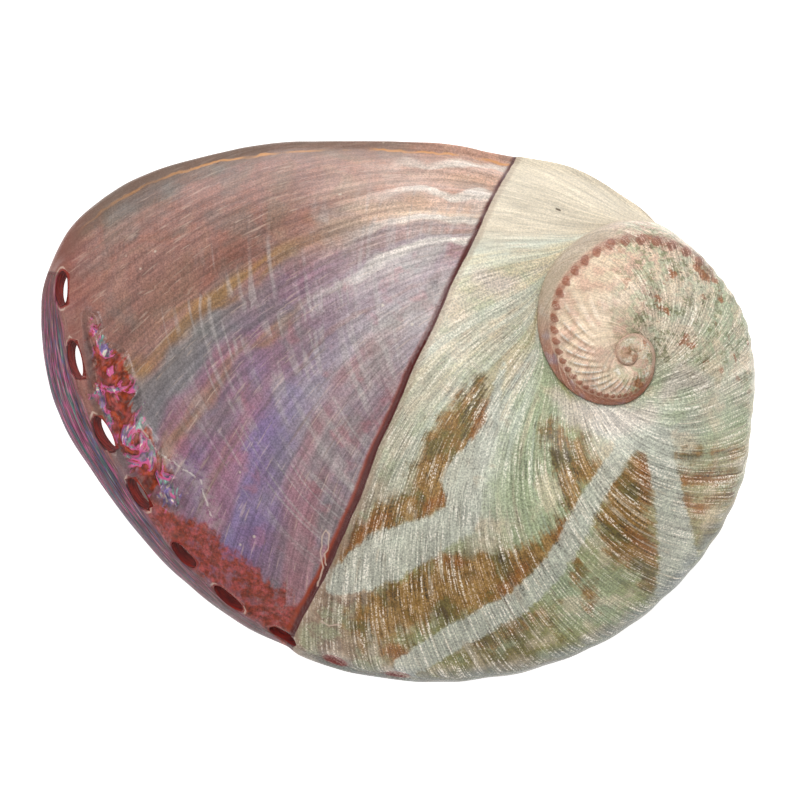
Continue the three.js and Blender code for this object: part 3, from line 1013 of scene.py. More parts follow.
def wrinkled_colour(nodes, at):
    """Wrinkled pearl by the row: worn red patches with bright edges, and blue-green shards between them."""
    blobs = nodes.noise(at.place, 0.19, detail=4, roughness=0.6, distortion=1.2)
    stretched = nodes.vector_math("MULTIPLY", at.place, (1.5, 0.6, 1.0))
    shards = nodes.noise(stretched, 0.42, detail=3, distortion=1.2)
    stops = (
        (0.3, "cyan"), (0.42, "slate"), (0.5, "plum"), (0.57, "violet"), (0.64, "pale_pink"), (0.72, "cyan"),
    )
    colour = nodes.ramp(shards, stops)
    worn = nodes.toward(nodes.tint("brick"), "crimson", nodes.span(shards, 0.42, 0.62))
    colour = nodes.mix(nodes.span(blobs, 0.44, 0.48), colour, worn)
    colour = nodes.shade(colour, nodes.patches(at.place, 0.75, 0.3, 0.7, detail=4), 0.4, 1.6)
    return nodes.toward(colour, "magenta", nodes.hump(blobs, 0.465, 0.014, 0.03), 0.9)


def nacre_colour(nodes, at, grain):
    """Polished pearl: rose at the lip, gold and slate streaks, lavender, and silver by the outer layer."""
    wave = nodes.math("SUBTRACT", nodes.noise(at.place, 0.08, detail=3), 0.5)
    line = nodes.plus(at.line, nodes.times(wave, nodes.math("DIVIDE", 640.0, nodes.plus(at.reach, 20.0))))
    width = nodes.plus(20.0, nodes.times(at.y, 0.33))
    near = nodes.span(nodes.math("DIVIDE", at.layer, width), -1.1, -0.15)
    colour = nodes.mix(near, nodes.ramp(line, FAR_NACRE), nodes.ramp(line, NEAR_NACRE))

    clouds = nodes.group("Pearl Clouds", Position=at.place, Size=9.0)["Color"]
    colour = nodes.mix(0.25, colour, clouds, "SOFT_LIGHT")
    mossy = nodes.patches(at.place, 0.11, 0.5, 0.64, detail=3)
    colour = nodes.toward(colour, "slate", mossy, 0.3)
    # Painted highlights on the crests of the growth folds by the outer layer's edge, and painted shade in
    # their dips.
    folds = nodes.wave(line, FIRST_FOLD, FOLD_STEP)
    by_edge = nodes.times(nodes.span(at.layer, -24.0, -6.0), nodes.hump(line, 93.0, 9.0, 4.0))
    fold_highlights = nodes.times(nodes.span(folds, 0.35, 0.95), by_edge)
    colour = nodes.toward(colour, "glint", fold_highlights, 0.8)
    fold_shade = nodes.times(nodes.span(folds, -0.2, -0.9), by_edge)
    colour = nodes.toward(colour, "blush", fold_shade, 0.5)
    middle = nodes.times(nodes.span(at.share, 0.25, 0.45), nodes.span(line, 99.0, 104.0))
    pink = nodes.span(nodes.streaks(at, 0.13, 0.045, 5.0), 0.5, 0.64)
    colour = nodes.toward(colour, "pink", middle, pink, 0.42)
    rosy = nodes.times(nodes.patches(at.place, 0.2, 0.56, 0.68, detail=3), nodes.span(line, 99.0, 104.0))
    colour = nodes.toward(colour, "pink", rosy, 0.4)
    blue = nodes.patches(at.place, 0.09, 0.45, 0.65, detail=3)
    blue = nodes.times(blue, nodes.span(line, 103.0, 108.0), nodes.span(near, 0.6, 0.2))
    colour = nodes.toward(colour, "violet", blue, 0.3)

    far = nodes.span(at.share, 0.38, 0.6)
    broken = nodes.span(nodes.streaks(at, 0.35, 0.09, 9.0), 0.36, 0.56)
    golds = nodes.plus(nodes.hump(line, 94.0, 0.9, 1.6), nodes.times(nodes.hump(line, 103.0, 0.6, 1.4), 0.75))
    colour = nodes.toward(colour, "gold", golds, far, broken, 0.62)
    slate = nodes.times(nodes.hump(line, 98.0, 1.4, 1.8), nodes.span(at.share, 0.5, 0.72))
    colour = nodes.toward(colour, "slate", slate, 0.62)
    brown_line = nodes.times(nodes.hump(line, 111.0, 0.25, 0.6), nodes.span(at.share, 0.15, 0.3))
    colour = nodes.toward(colour, "russet", brown_line, broken, 0.4)

    # Silvery pearl by the outer layer, lightened along the ribs' crests and the thin spiral ridges as painted
    # highlights.
    ribs = rib_noise(nodes, at)
    by_layer = nodes.times(nodes.span(line, 92.0, 104.0), nodes.span(near, 0.0, 0.8, 0.3))
    colour = nodes.toward(colour, "silver", nodes.span(ribs, 0.52, 0.72), by_layer, 0.5)
    here = nodes.times(nodes.patches(at.place, 0.15, 0.4, 0.55, detail=2), nodes.span(line, 84.0, 94.0))
    spiral = nodes.ridges(at, 26.0, 0.03, 7.0, detail=1)
    ridges = nodes.times(nodes.hump(spiral, 0.52, 0.01, 0.05), here, nodes.span(at.share, 0.88, 0.7))
    colour = nodes.toward(colour, "silver", ridges, 0.42)
    threads = nodes.ridges(at, 150.0, 0.4, 4.0, detail=3)
    threads = nodes.span(threads, 0.34, 0.66)
    lines = nodes.span(nodes.streaks(at, 1.4, 0.1, 21.0, 3.0), 0.34, 0.66)
    colour = nodes.shade(colour, threads, 0.91, 1.07)
    colour = nodes.shade(colour, lines, 0.78, 1.17)
    colour = nodes.shade(colour, grain["Streak"], 0.93, 1.06)
    colour = nodes.shade(colour, grain["Dust"], 0.76, 1.22)
    scratches = nodes.span(nodes.streaks(at, 2.2, 0.25, 27.0, 2.0), 0.6, 0.7)
    colour = nodes.toward(colour, "pale_pink", scratches, 0.3)
    creases = nodes.span(nodes.streaks(at, 1.1, 0.05, 33.0, 3.0), 0.38, 0.3)
    colour = nodes.toward(colour, "lip", creases, 0.4)

    left = nodes.hump(at.coil, 158.0, 14.0, 16.0)
    lip = nodes.times(nodes.span(at.rim, 3.4, 1.0), left)
    colour = nodes.toward(colour, "lip", lip, 0.7)
    ripple = nodes.times(nodes.math("SUBTRACT", nodes.noise(at.place, 0.35), 0.5), 1.2)
    orange = nodes.hump(nodes.plus(at.rim, ripple), 1.6, 0.08, 0.22)
    orange = nodes.times(orange, nodes.hump(at.coil, 136.0, 14.0, 22.0))
    orange = nodes.times(orange, nodes.patches(at.place, 0.12, 0.4, 0.56, detail=2))
    colour = nodes.toward(colour, "orange", orange, 0.8)
    pits = nodes.group("Speckles", Position=at.place, Size=2.4, Share=0.06)["Mask"]
    colour = nodes.toward(colour, "pearl", pits, 0.6)

    row = nodes.span(at.share, 0.9, 1.0)
    colour = nodes.toward(colour, "crimson", row, 0.4)
    brick = ragged(nodes, at, at.brick, 6.0, 0.28, 0.8)
    worn = nodes.noise(at.place, 0.7, detail=4, roughness=0.65)
    brick_tone = nodes.toward(nodes.tint("brick"), "crimson", nodes.span(worn, 0.42, 0.6))
    brick_tone = nodes.shade(brick_tone, nodes.span(worn, 0.3, 0.7), 0.5, 1.35)
    worn_lines = nodes.patches(at.place, 1.6, 0.34, 0.66, detail=4, roughness=0.7)
    brick_tone = nodes.shade(brick_tone, worn_lines, 0.6, 1.4)
    through = nodes.span(nodes.noise(at.place, 0.45, detail=4, roughness=0.6), 0.34, 0.5, 0.45, 1.0)
    colour = nodes.mix(nodes.times(brick, through, 0.95), colour, brick_tone)
    crumple = ragged(nodes, at, at.crumple, 6.5, 0.3, 0.5)
    colour = nodes.mix(crumple, colour, wrinkled_colour(nodes, at))
    funnel = nodes.span(nodes.plus(at.ring, nodes.times(nodes.noise(at.place, 0.5), 0.6)), 1.55, 1.35)
    colour = nodes.toward(colour, "hole_red", funnel, 0.85)
    # A pale broken ring on the holes' raised collars: painted highlight.
    outline = nodes.times(nodes.hump(at.ring, 1.24, 0.02, 0.08), nodes.patches(at.place, 0.4, 0.42, 0.6))
    colour = nodes.toward(colour, "pale_pink", outline, 0.6)

    flank = nodes.times(nodes.span(at.share, 1.02, 1.16), nodes.span(at.coil, 168.0, 180.0))
    margin = nodes.ridges(at, 15.0, 0.13, 6.0, detail=4, roughness=0.7)
    stops = (
        (0.32, "teal"), (0.41, "slate"), (0.45, "violet"), (0.485, "russet"), (0.52, "plum"),
        (0.56, "magenta"), (0.6, "heather"), (0.66, "teal"), (0.72, "cyan"),
    )
    streaked = nodes.ramp(margin, stops)
    fine = nodes.ridges(at, 48.0, 0.3, 8.0, detail=3, roughness=0.6)
    streaked = nodes.shade(streaked, nodes.span(fine, 0.34, 0.66), 0.35, 1.2)
    glints = nodes.span(fine, 0.6, 0.68)
    streaked = nodes.toward(streaked, "pale_pink", glints, 0.5)
    streaked = nodes.toward(streaked, "lip", nodes.span(at.coil, 192.0, 215.0, 0.0, 0.55))
    streaked = nodes.vector_math("SCALE", streaked, scale=0.86)
    return nodes.mix(flank, colour, streaked)


def layer_colour(nodes, at, grain):
    """The outer layer: cream to mint with olive and brown patches, icy bands, and pale streaks of growth."""
    wave = nodes.noise(at.place, 0.12, detail=2)
    line = nodes.plus(at.line, nodes.times(nodes.math("SUBTRACT", wave, 0.5), 12.0))
    far = nodes.span(at.share, 0.3, 0.75)
    colour = nodes.mix(far, nodes.ramp(line, NEAR_LAYER), nodes.ramp(line, FAR_LAYER))
    old = nodes.span(line, 104.0, 120.0)
    clouds = nodes.noise(at.place, 0.2, detail=4, roughness=0.6)
    colour = nodes.toward(colour, "celadon", nodes.span(clouds, 0.5, 0.64), old, 0.5)
    colour = nodes.toward(colour, "sand", nodes.span(clouds, 0.5, 0.36), old, 0.45)
    broad = nodes.streaks(at, 0.2, 0.03, 41.0, 3.0)
    fan = nodes.times(nodes.span(at.reach, 14.0, 20.0), nodes.span(line, 100.0, 108.0))
    fan = nodes.times(fan, nodes.span(at.share, 0.7, 0.35))
    colour = nodes.toward(colour, "frost", nodes.span(broad, 0.5, 0.6), fan, 0.5)
    colour = nodes.toward(colour, "straw", nodes.span(broad, 0.47, 0.38), fan, 0.55)

    brown = ragged(nodes, at, at.brown, 7.0, 0.35, 1.2)
    tones = nodes.noise(at.place, 0.16, detail=5, roughness=0.6)
    tones = nodes.number_mix(0.4, tones, nodes.streaks(at, 0.3, 0.06, 81.0, 3.0))
    stops = ((0.38, "peat"), (0.44, "moss"), (0.49, "brown"), (0.54, "tan"), (0.59, "brown"), (0.64, "moss"))
    colour = nodes.mix(nodes.times(brown, 0.92), colour, nodes.ramp(tones, stops))
    rust = ragged(nodes, at, at.rust, 2.6, 0.45, 0.9)
    colour = nodes.toward(colour, "rust", rust, 0.5)
    band = ragged(nodes, at, at.band, 2.2, 0.4, 0.4)
    ice = nodes.toward(nodes.tint("ice"), "mint", nodes.patches(at.place, 0.3, 0.4, 0.6, detail=3))
    colour = nodes.mix(nodes.times(band, 0.85), colour, ice)

    pearly = ragged(nodes, at, at.pearly, 3.0, 0.3, 1.2)
    colour = nodes.toward(colour, "shell_white", pearly, 0.7)

    low_flank = nodes.times(nodes.span(at.share, 1.02, 1.12), nodes.span(at.coil, 290.0, 240.0))
    colour = nodes.toward(colour, "slate_blue", low_flank, 0.35)
    by_rim = nodes.times(nodes.span(at.rim, 3.2, 0.8), nodes.span(at.coil, 222.0, 226.0))
    by_rim = nodes.times(by_rim, nodes.span(at.coil, 330.0, 285.0))
    veined = nodes.span(nodes.streaks(at, 0.5, 0.08, 61.0, 4.0), 0.36, 0.6, 0.35, 0.9)
    colour = nodes.toward(colour, "slate_blue", by_rim, veined, 0.8)
    sealed = nodes.times(nodes.span(at.ring, 1.15, 0.85), nodes.span(at.coil, 222.0, 223.5))
    colour = nodes.toward(colour, "hole_red", sealed, 0.85)
    colour = spire_colour(nodes, at, colour)

    patchy = nodes.patches(at.place, 0.17, 0.38, 0.62, detail=2)
    rough = nodes.times(nodes.span(line, 106.0, 150.0, 0.25, 1.0), nodes.span(patchy, 0.0, 1.0, 0.55, 1.0))
    rough = nodes.times(rough, nodes.span(at.coil, 470.0, 420.0, 0.25, 1.0))
    pale = nodes.span(nodes.streaks(at, 0.9, 0.1, 11.0, 4.0), 0.55, 0.63)
    colour = nodes.toward(colour, "cream", pale, nodes.span(patchy, 0.2, 1.0, 0.0, 0.55))
    colour = nodes.shade(colour, grain["Streak"], 0.88, 1.1)
    # Pale flecks of the layer, drawn in the highlight colour as painted glints where the layer is rough.
    sparks = nodes.times(nodes.span(grain["Grain"], 0.62, 0.9), nodes.span(grain["Dust"], 0.35, 0.7))
    colour = nodes.toward(colour, "glint", sparks, rough, 0.85)
    dark = nodes.times(nodes.span(grain["Grain"], 0.34, 0.0), nodes.span(grain["Dust"], 0.6, 0.2))
    stained = nodes.plus(0.3, nodes.times(brown, 0.7))
    colour = nodes.toward(colour, "umber", dark, rough, stained)
    colour = nodes.shade(colour, grain["Grain"], nodes.span(rough, 0.0, 1.0, 0.92, 0.62), 1.17)
    off_spire = nodes.span(at.coil, 500.0, 430.0, 0.5, 1.0)
    dusty = nodes.times(nodes.span(line, 102.0, 116.0, 0.45, 1.0), off_spire)
    darkest = nodes.plus(1.0, nodes.times(dusty, -0.29))
    lightest = nodes.plus(1.0, nodes.times(dusty, 0.26))
    return nodes.shade(colour, grain["Dust"], darkest, lightest)


def spire_colour(nodes, at, colour):
    """Tan turns with a brown row of closed holes, mottled green on the side away from the lip."""
    away = nodes.span(at.x, APEX_X - 7.0, APEX_X + 3.0)
    mottle = nodes.noise(at.place, 0.4, detail=4, roughness=0.65)
    on_right = nodes.times(away, nodes.span(at.coil, 330.0, 360.0))
    colour = nodes.toward(colour, "sand", nodes.span(mottle, 0.56, 0.44), on_right, 0.45)
    spire = nodes.span(at.coil, 395.0, 450.0)
    tan = nodes.toward(nodes.tint("sand"), "shell_pink", nodes.patches(at.place, 0.35, 0.4, 0.62, detail=3))
    tan = nodes.toward(tan, "celadon", nodes.span(mottle, 0.48, 0.57), away, 0.7)
    # Painted highlights on the pleats' crests, and painted glints flecked over the inner turn.
    pleats = nodes.wave(nodes.plus(at.coil, nodes.times(at.share, PLEAT_SLANT)), 0.0, PLEAT_STEP)
    pleated = nodes.times(nodes.hump(at.share, 0.68, 0.12, 0.16), nodes.span(at.coil, 480.0, 540.0))
    broken = nodes.patches(at.place, 0.6, 0.42, 0.55, detail=2)
    pleat_highlight = nodes.times(nodes.span(pleats, 0.5, 0.95), pleated, broken)
    tan = nodes.toward(tan, "glint", pleat_highlight, 0.9)
    glint_flecks = nodes.patches(at.place, 0.8, 0.58, 0.64, detail=3, roughness=0.6)
    inner_glints = nodes.times(glint_flecks, nodes.span(at.coil, 520.0, 600.0))
    tan = nodes.toward(tan, "glint", inner_glints, 0.75)
    colour = nodes.mix(spire, colour, tan)
    spots = nodes.times(nodes.patches(at.place, 0.5, 0.52, 0.6, detail=4, roughness=0.7), on_right)
    colour = nodes.toward(colour, "fern", spots, 0.75)
    deep = nodes.times(nodes.patches(at.place, 0.6, 0.6, 0.68, detail=4, roughness=0.75), on_right)
    colour = nodes.toward(colour, "peat", deep, 0.8)
    embers = nodes.times(nodes.patches(at.place, 0.33, 0.59, 0.66, detail=3), on_right)
    colour = nodes.toward(colour, "rust", embers, 0.8)

    beads = nodes.wave(at.coil, FIRST_BEAD, BEAD_STEP)
    off_row = nodes.times(nodes.math("SUBTRACT", at.share, 0.98), 18.0)
    round_beads = nodes.math("SUBTRACT", beads, nodes.times(off_row, off_row))
    row_line = nodes.times(nodes.span(at.share, 0.93, 0.96), nodes.span(at.share, 1.12, 1.04))
    on_row = nodes.times(nodes.span(at.coil, 395.0, 420.0), nodes.span(at.coil, 700.0, 600.0, 0.2, 1.0))
    colour = nodes.toward(colour, "bead", row_line, on_row, 0.6)
    colour = nodes.toward(colour, "bead", nodes.span(round_beads, -0.9, -0.1), on_row, 0.85)
    flank_row = nodes.times(nodes.span(at.share, 1.02, 1.14), nodes.span(at.coil, 440.0, 470.0))
    flank_tone = nodes.toward(nodes.tint("bead"), "mauve", nodes.patches(at.place, 0.4, 0.48, 0.66, detail=2))
    flank_tone = nodes.toward(flank_tone, "taupe", nodes.span(at.coil, 545.0, 500.0))
    flank_tone = nodes.toward(flank_tone, "shell_pink", nodes.span(at.coil, 640.0, 720.0, 0.0, 0.85))
    lightest = nodes.span(at.share, 1.75, 1.95, 0.0, 0.6)
    flank_tone = nodes.toward(flank_tone, "sand", lightest)
    return nodes.mix(nodes.times(flank_row, 0.92), colour, flank_tone)


def open_material(name, colours):
    """A material's nodes and its Principled BSDF, with the finish of polished shell."""
    material = bpy.data.materials[name]
    material.use_nodes = True
    surface = material.node_tree.nodes["Principled BSDF"]
    surface.inputs["IOR"].default_value = 1.5
    surface.inputs["Coat Roughness"].default_value = 0.12
    return Nodes(material.node_tree, colours), surface


def relief_bump(nodes, surface, height):
    """Bumps the surface by a height in mm."""
    bump = nodes.add("Bump")
    bump.inputs["Strength"].default_value = 1.0
    bump.inputs["Distance"].default_value = MM
    nodes.feed(bump.inputs["Height"], height)
    nodes.feed(surface.inputs["Normal"], bump.outputs[0])


def rib_noise(nodes, at):
    """Slight ribs of the pearl, across its growth lines."""
    return nodes.ridges(at, 34.0, 0.035, 2.0, detail=2)


def finish_back(colours):
    """Pearl and outer layer, the dark seam between them (the layer's reddish edge, darkened by painted shadow
    under its step), and fine marks over both.
    """
    nodes, surface = open_material("shell_back", colours)
    at = where(nodes)
    grain = nodes.group("Growth Grain", Line=at.line, Reach=at.reach, Position=at.place)
    on_layer = nodes.span(at.layer, -0.12, 0.12)
    nacre = nacre_colour(nodes, at, grain)
    colour = nodes.mix(on_layer, nacre, layer_colour(nodes, at, grain))

    # The seam: the outer layer's reddish edge, darkened beside the step as the painted shadow of its wall.
    frayed = nodes.times(nodes.math("SUBTRACT", nodes.noise(at.place, 0.3, detail=4), 0.5), 0.5)
    side = nodes.plus(at.layer, frayed)
    width = nodes.plus(1.15, nodes.times(at.y, -0.016))
    seam = nodes.times(nodes.span(side, 0.2, 0.0), nodes.span(nodes.plus(side, width), -0.35, 0.35))
    shadowed_seam_tone = nodes.toward(nodes.tint("brick"), "seam", nodes.span(side, -1.3, -0.6))
    colour = nodes.mix(seam, colour, shadowed_seam_tone)
    cut_edge = nodes.times(nodes.span(side, 0.0, 0.2), nodes.span(side, 1.3, 0.6))
    colour = nodes.toward(colour, "clay", cut_edge, 0.45)
    pale_marks = nodes.plus(fine_mark(nodes, at, WORM_TUBE, 0.11), fine_mark(nodes, at, CHIP, 0.13))
    colour = nodes.toward(colour, "pale_pink", nodes.clamp(pale_marks), 0.65)
    beside_torn = nodes.times(fine_mark(nodes, at, TORN_EDGE, 1.5), 0.3)
    torn = nodes.plus(fine_mark(nodes, at, TORN_EDGE, 0.11), beside_torn)
    torn = nodes.times(torn, nodes.patches(at.place, 1.2, 0.35, 0.55, detail=3))
    colour = nodes.toward(colour, "glint", nodes.clamp(torn), 0.5)
    colour = nodes.toward(colour, "umber", fine_mark(nodes, at, PIT, 0.16))
    nodes.feed(surface.inputs["Base Color"], colour)

    ribs = rib_noise(nodes, at)
    nacre_relief = nodes.plus(nodes.times(ribs, 0.28), nodes.times(grain["Relief"], 0.3))
    layer_relief = nodes.times(grain["Relief"], nodes.span(at.coil, 500.0, 430.0, 0.25, 0.6))
    pits = nodes.group("Speckles", Position=at.place, Size=1.6, Share=0.1)["Mask"]
    relief = nodes.number_mix(on_layer, nacre_relief, layer_relief)
    step = nodes.span(at.layer, -0.35, 0.15, 0.0, 0.3)
    wrinkles = nodes.noise(at.place, 0.19, detail=2, roughness=0.5, distortion=1.2)
    wrinkles = nodes.times(wrinkles, nodes.span(at.crumple, -1.5, 0.5), 3.5)
    relief_bump(nodes, surface, nodes.plus(relief, step, wrinkles, nodes.times(pits, -0.12)))
    patchy = nodes.noise(at.place, 0.25, detail=3)
    rough = nodes.plus(nodes.span(patchy, 0.3, 0.7, 0.24, 0.36), nodes.times(on_layer, 0.08))
    rough = nodes.plus(rough, nodes.span(at.coil, 430.0, 500.0, 0.0, -0.12))
    nodes.feed(surface.inputs["Roughness"], rough)
    dull = nodes.times(nodes.span(at.share, 1.0, 1.15), nodes.span(at.coil, 250.0, 225.0))
    dull = nodes.math("MAXIMUM", dull, nodes.times(nodes.span(at.crumple, -1.0, 0.5), 0.6))
    nodes.feed(surface.inputs["Specular IOR Level"], nodes.number_mix(dull, 0.5, 0.12))
    coat = nodes.span(patchy, 0.3, 0.7, 0.25, 0.1)
    nodes.feed(surface.inputs["Coat Weight"], nodes.number_mix(dull, coat, 0.02))


def finish_bowl(colours):
    """Pearl inside, silvery with green, blue and rose clouds, and a dull border along the rim."""
    nodes, surface = open_material("shell_bowl", colours)
    at = where(nodes)
    cloud = nodes.group("Pearl Clouds", Position=at.place, Size=24.0)
    fine = nodes.group("Pearl Clouds", Position=at.place, Size=6.0)
    ripple = nodes.noise(at.place, 0.05, detail=2, roughness=0.45, distortion=0.7)
    stops = ((0.3, "cyan"), (0.44, "silver"), (0.52, "pearl"), (0.6, "silver"), (0.72, "lavender"))
    colour = nodes.toward(nodes.ramp(ripple, stops), "shell_white", 0.45)
    colour = nodes.mix(0.35, colour, cloud["Color"])
    colour = nodes.mix(0.12, colour, fine["Color"])
    border = nodes.span(nodes.plus(at.inside, nodes.times(fine["Cloud"], 1.2)), 2.2, 0.6)
    colour = nodes.toward(colour, "clay", border, 0.8)
    nodes.feed(surface.inputs["Base Color"], colour)
    relief_bump(nodes, surface, nodes.plus(nodes.times(ripple, 0.8), nodes.times(fine["Cloud"], 0.1)))
    nodes.feed(surface.inputs["Roughness"], nodes.span(fine["Cloud"], 0.3, 0.7, 0.18, 0.3))
    surface.inputs["Coat Weight"].default_value = 0.5


def finish_hole_walls(colours):
    nodes, surface = open_material("shell_hole_wall", colours)
    place = nodes.vector_math("SCALE", nodes.add("TexCoord").outputs["Object"], scale=1 / MM)
    layers = nodes.noise(nodes.vector_math("MULTIPLY", place, (0.4, 0.4, 3.0)), detail=3)
    colour = nodes.toward(nodes.tint("hole_red"), "hole_dark", nodes.span(layers, 0.35, 0.65))
    nodes.feed(surface.inputs["Base Color"], colour)
    relief_bump(nodes, surface, nodes.times(layers, 0.15))
    surface.inputs["Roughness"].default_value = 0.6
    surface.inputs["Specular IOR Level"].default_value = 0.2


def paint(code):
    """A linear colour from its hex code."""
    parts = [int(code[i:i + 2], 16) / 255 for i in (0, 2, 4)]
    return tuple(part / 12.92 if part <= 0.04045 else ((part + 0.055) / 1.055) ** 2.4 for part in parts)


def length_property(name, description, default):
    return FloatProperty(
        name=name, description=description, default=default, min=0, precision=5,
        subtype="DISTANCE", unit="LENGTH",
    )


def colour_property(name, description, code):
    return FloatVectorProperty(
        name=name, description=description, default=paint(code), size=3, min=0, max=1, subtype="COLOR"
    )


class ShellShape(bpy.types.PropertyGroup):
    rays: IntProperty(name="Rays", description="Rays round the apex over the last turn", default=520, min=80)
    back_columns: IntProperty(name="Back Columns", description="Columns from suture to shoulder", default=72)
    flank_columns: IntProperty(name="Flank Columns", description="Columns from shoulder to rim", default=16)
    bowl_columns: IntProperty(name="Bowl Columns", description="Columns from rim to middle", default=34)
    fold_height: length_property("Fold Height", "Growth folds by the outer layer's edge", 0.0005)
    step_height: length_property("Step Height", "Drop at the outer layer's edge", 0.00045)
    collar_height: length_property("Collar Height", "Collars round the holes", 0.0004)
    sealed_depth: length_property("Sealed Depth", "Dimples where the oldest holes are sealed", 0.0009)
    bead_height: length_property("Bead Height", "Beads along the shoulder of the spire", 0.00045)
    pleat_height: length_property("Pleat Height", "Pleats of the spire's turns", 0.00026)
    unevenness: length_property("Unevenness", "Slow waves over the back", 0.0003)


class ShellColours(bpy.types.PropertyGroup):
    lip: colour_property("Lip", "Worn edge of the lip", "7c6557")
    orange: colour_property("Lip Line", "Thin bright line inside the lip", "dc9a59")
    rose: colour_property("Rose", "Pearl near the lip", "9e7769")
    russet: colour_property("Russet", "Browner growth lines in the rose pearl", "916859")
    gold: colour_property("Gold", "Golden streaks in the pearl", "9e7535")
    slate: colour_property("Slate", "Grey-green pearl", "717b76")
    plum: colour_property("Plum", "Pearl between rose and lavender", "8d6c7e")
    lavender: colour_property("Lavender", "Deep part of the pearl", "857299")
    violet: colour_property("Violet", "Blue-violet clouds in the pearl", "73619c")
    heather: colour_property("Heather", "Grey-pink pearl", "98868b")
    heather_pale: colour_property("Pale Heather", "Grey-pink pearl by the outer layer", "ab999c")
    pink: colour_property("Pink", "Pink streaks in the pearl", "b67178")
    # Painted highlight colour for the crests of folds and pleats and for glints on the layer and spire; the
    # pale torn edge is drawn in it too.
    glint: colour_property("Glint", "Crests of folds and pleats", "f2e9dc")
    silver: colour_property("Silver", "Silvery pearl by the outer layer", "beb4b0")
    blush: colour_property("Blush", "Top edge of the pearl", "c49a82")
    pale_pink: colour_property("Pale Pink", "Pale fold of the pearl", "e3c7b4")
    pearl: colour_property("Pearl", "Palest folds of the pearl", "e4d5c0")
    brick: colour_property("Brick", "Worn brick-red strip by the holes", "993a1c")
    crimson: colour_property("Crimson", "Redder part of the worn strip", "943f3a")
    magenta: colour_property("Magenta", "Bright sparks in the wrinkled pearl", "dc5f98")
    cyan: colour_property("Cyan", "Blue-green glints in the pearl", "8fc8bb")
    teal: colour_property("Teal", "Dark blue-green lines on the flank", "3f6f6b")
    cream: colour_property("Cream", "Outer layer near the top and its pale streaks", "dfd2ba")
    straw: colour_property("Straw", "Yellower streaks of the outer layer", "e3d6b4")
    straw_grey: colour_property("Grey Straw", "Outer layer near the spire", "d3ceb6")
    sand: colour_property("Sand", "Tan of the spire", "eed6b9")
    mint: colour_property("Mint", "Palest green of the outer layer", "dadccb")
    celadon: colour_property("Celadon", "Green of the outer layer", "b2bd96")
    olive: colour_property("Olive", "Olive of the outer layer", "9c985a")
    olive_pale: colour_property("Pale Olive", "Lighter olive of the outer layer", "b7aa7c")
    tan: colour_property("Tan", "Lighter part of the brown patches", "b68b4a")
    fern: colour_property("Fern", "Green mottles of the spire", "84865a")
    peat: colour_property("Peat", "Darkest part of the brown patches", "5a4318")
    umber: colour_property("Umber", "Dark specks in the outer layer", "5c4a30")
    frost: colour_property("Frost", "Pale blue-green streaks fanning from the spire", "d6dccb")
    taupe: colour_property("Taupe", "Greyer part of the spire's band", "b5a38c")
    shell_white: colour_property("Shell White", "Pinkish white patches by the spire", "dfd0c4")
    slate_blue: colour_property("Slate Blue", "Outer layer's flank by the sealed holes", "7f8686")
    moss: colour_property("Moss", "Darkest green-brown of the outer layer", "7c6a2c")
    brown: colour_property("Brown", "Brown patches", "94661f")
    rust: colour_property("Rust", "Rusty spots in the brown patches", "a3550f")
    clay: colour_property("Clay", "Pinkish brown beside the cut edge", "9e826b")
    ice: colour_property("Ice", "Bluish white bands", "cbccbd")
    # Darkest part of the seam, used as painted shadow under the outer layer's step.
    seam: colour_property("Seam", "Dark line at the outer layer's edge", "56140d")
    shell_pink: colour_property("Shell Pink", "Pinker part of the spire", "debaa2")
    bead: colour_property("Bead", "Closed holes of the spire and the band outside them", "9c5f46")
    mauve: colour_property("Mauve", "Purple part of the spire's band", "90717a")
    hole_red: colour_property("Hole Red", "Walls of the holes", "8f2114")
    hole_dark: colour_property("Hole Dark", "Darker layers in the holes' walls", "600d0d")


class SHELL_OT_body(bpy.types.Operator):
    """Coil the whole shell, back, rim and bowl, as one closed surface"""

    bl_idname = "shell.body"
    bl_label = "Coil Shell"

    def execute(self, context):
        shell = coil_shell(context.scene.shell_shape)
        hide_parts("shell")
        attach(shell, "root")
        return {"FINISHED"}


class SHELL_OT_holes(bpy.types.Operator):
    """Pierce the row of breathing holes"""

    bl_idname = "shell.holes"
    bl_label = "Pierce Holes"

    def execute(self, context):
        shell = bpy.data.objects["shell_body"]
        pierce(shell)
        select_only(shell)
        bpy.ops.object.shade_smooth_by_angle(angle=math.radians(SMOOTH_ANGLE))
        return {"FINISHED"}


class SHELL_OT_finish(bpy.types.Operator):
    """Give the back, the bowl and the walls of the holes their polished finish"""

    bl_idname = "shell.finish"
    bl_label = "Finish Shell"

    def execute(self, context):
        colours = context.scene.shell_colours
        pearl_clouds(colours)
        growth_grain()
        speckles()
        line_distance()
        finish_back(colours)
        finish_bowl(colours)
        finish_hole_walls(colours)
        return {"FINISHED"}


# The stage, in metres. The camera looks straight down, and takes in VIEW_WIDTH at VIEW_DISTANCE below it.
FLOOR_SIZE = 3.0
FLOOR_GLOW = 0.85
STUDIO_LIGHT = 0.32
CAMERA_PLACE = (0.0005, 0.0019, 1.6)
SENSOR_WIDTH = 36.0
VIEW_DISTANCE = 1.59
VIEW_WIDTH = 0.13464
LAMPS = (("key", (0.1, 0.6, 0.95), 0.6, 7.1), ("fill", (-0.6, -0.1, 0.8), 0.9, 2.4))


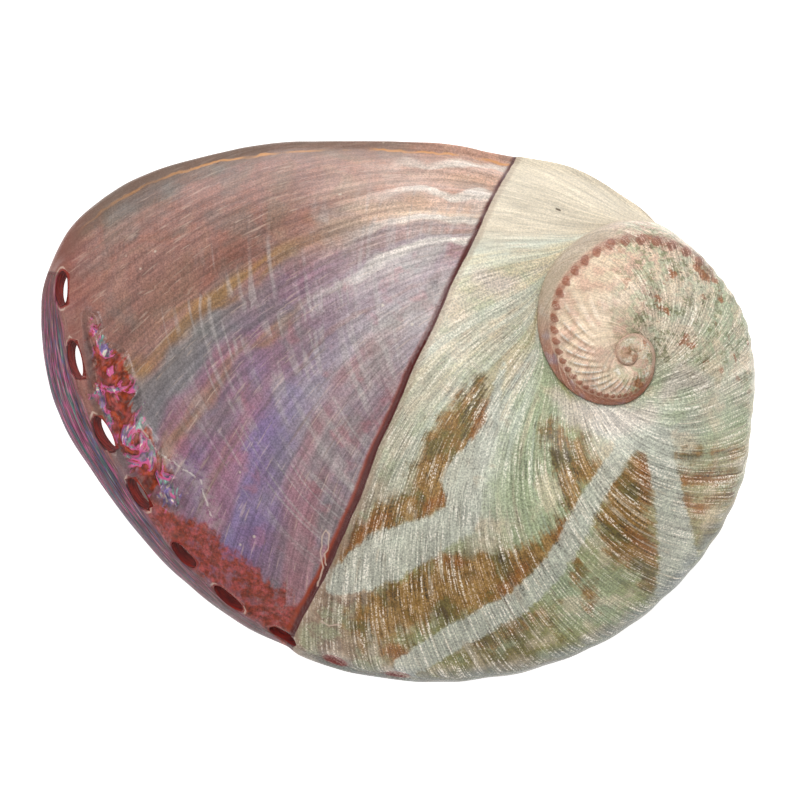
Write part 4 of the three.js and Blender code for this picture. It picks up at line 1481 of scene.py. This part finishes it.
class SHELL_OT_stage(bpy.types.Operator):
    """Lay the floor and set the lamps and the camera"""

    bl_idname = "shell.stage"
    bl_label = "Set Stage"

    def execute(self, context):
        deselect()
        bpy.ops.mesh.primitive_plane_add(size=FLOOR_SIZE, location=(0, 0, 0))
        floor = context.object
        floor.name = "floor"
        material = bpy.data.materials.new("floor_paper")
        material.use_nodes = True
        surface = material.node_tree.nodes["Principled BSDF"]
        surface.inputs["Base Color"].default_value = (0.8, 0.8, 0.8, 1)
        surface.inputs["Roughness"].default_value = 0.9
        surface.inputs["Emission Color"].default_value = (1, 1, 1, 1)
        surface.inputs["Emission Strength"].default_value = FLOOR_GLOW
        floor.data.materials.append(material)
        bpy.ops.object.camera_add(location=CAMERA_PLACE, rotation=(0, 0, 0))
        camera = context.object
        camera.data.sensor_width = SENSOR_WIDTH
        camera.data.lens = SENSOR_WIDTH * VIEW_DISTANCE / VIEW_WIDTH
        camera.data.clip_start = 0.05
        context.scene.camera = camera
        world = bpy.data.worlds.new("studio")
        world.use_nodes = True
        sky = world.node_tree.nodes["Background"]
        sky.inputs["Color"].default_value = (1, 1, 1, 1)
        sky.inputs["Strength"].default_value = STUDIO_LIGHT
        context.scene.world = world
        context.scene.view_settings.view_transform = "Standard"
        for name, spot, size, power in LAMPS:
            bpy.ops.object.light_add(type="AREA", location=spot)
            lamp = context.object
            lamp.name = name
            lamp.data.size = size
            lamp.data.energy = power
            lamp.rotation_euler = Vector(spot).to_track_quat("Z", "Y").to_euler()
        return {"FINISHED"}


class SHELL_PT_steps(bpy.types.Panel):
    """The steps that make the shell, in order"""

    bl_idname = "SHELL_PT_steps"
    bl_label = "Abalone Shell"
    bl_space_type = "VIEW_3D"
    bl_region_type = "UI"
    bl_category = "Shell"

    def draw(self, context):
        for step in ("shell.body", "shell.holes", "shell.finish", "shell.stage"):
            self.layout.operator(step)
        for settings in (context.scene.shell_shape, context.scene.shell_colours):
            for name in settings.bl_rna.properties.keys():
                if name not in {"rna_type", "name"}:
                    self.layout.prop(settings, name)


CLASSES = (
    ShellShape, ShellColours, SHELL_OT_body, SHELL_OT_holes, SHELL_OT_finish, SHELL_OT_stage, SHELL_PT_steps,
)


def register():
    for kind in CLASSES:
        bpy.utils.register_class(kind)
    bpy.types.Scene.shell_shape = PointerProperty(type=ShellShape)
    bpy.types.Scene.shell_colours = PointerProperty(type=ShellColours)


def unregister():
    del bpy.types.Scene.shell_colours
    del bpy.types.Scene.shell_shape
    for kind in reversed(CLASSES):
        bpy.utils.unregister_class(kind)


def main():
    register()
    bpy.ops.shell.body()
    bpy.ops.shell.holes()
    bpy.ops.shell.finish()
    bpy.ops.shell.stage()


if __name__ == "__main__":
    main()
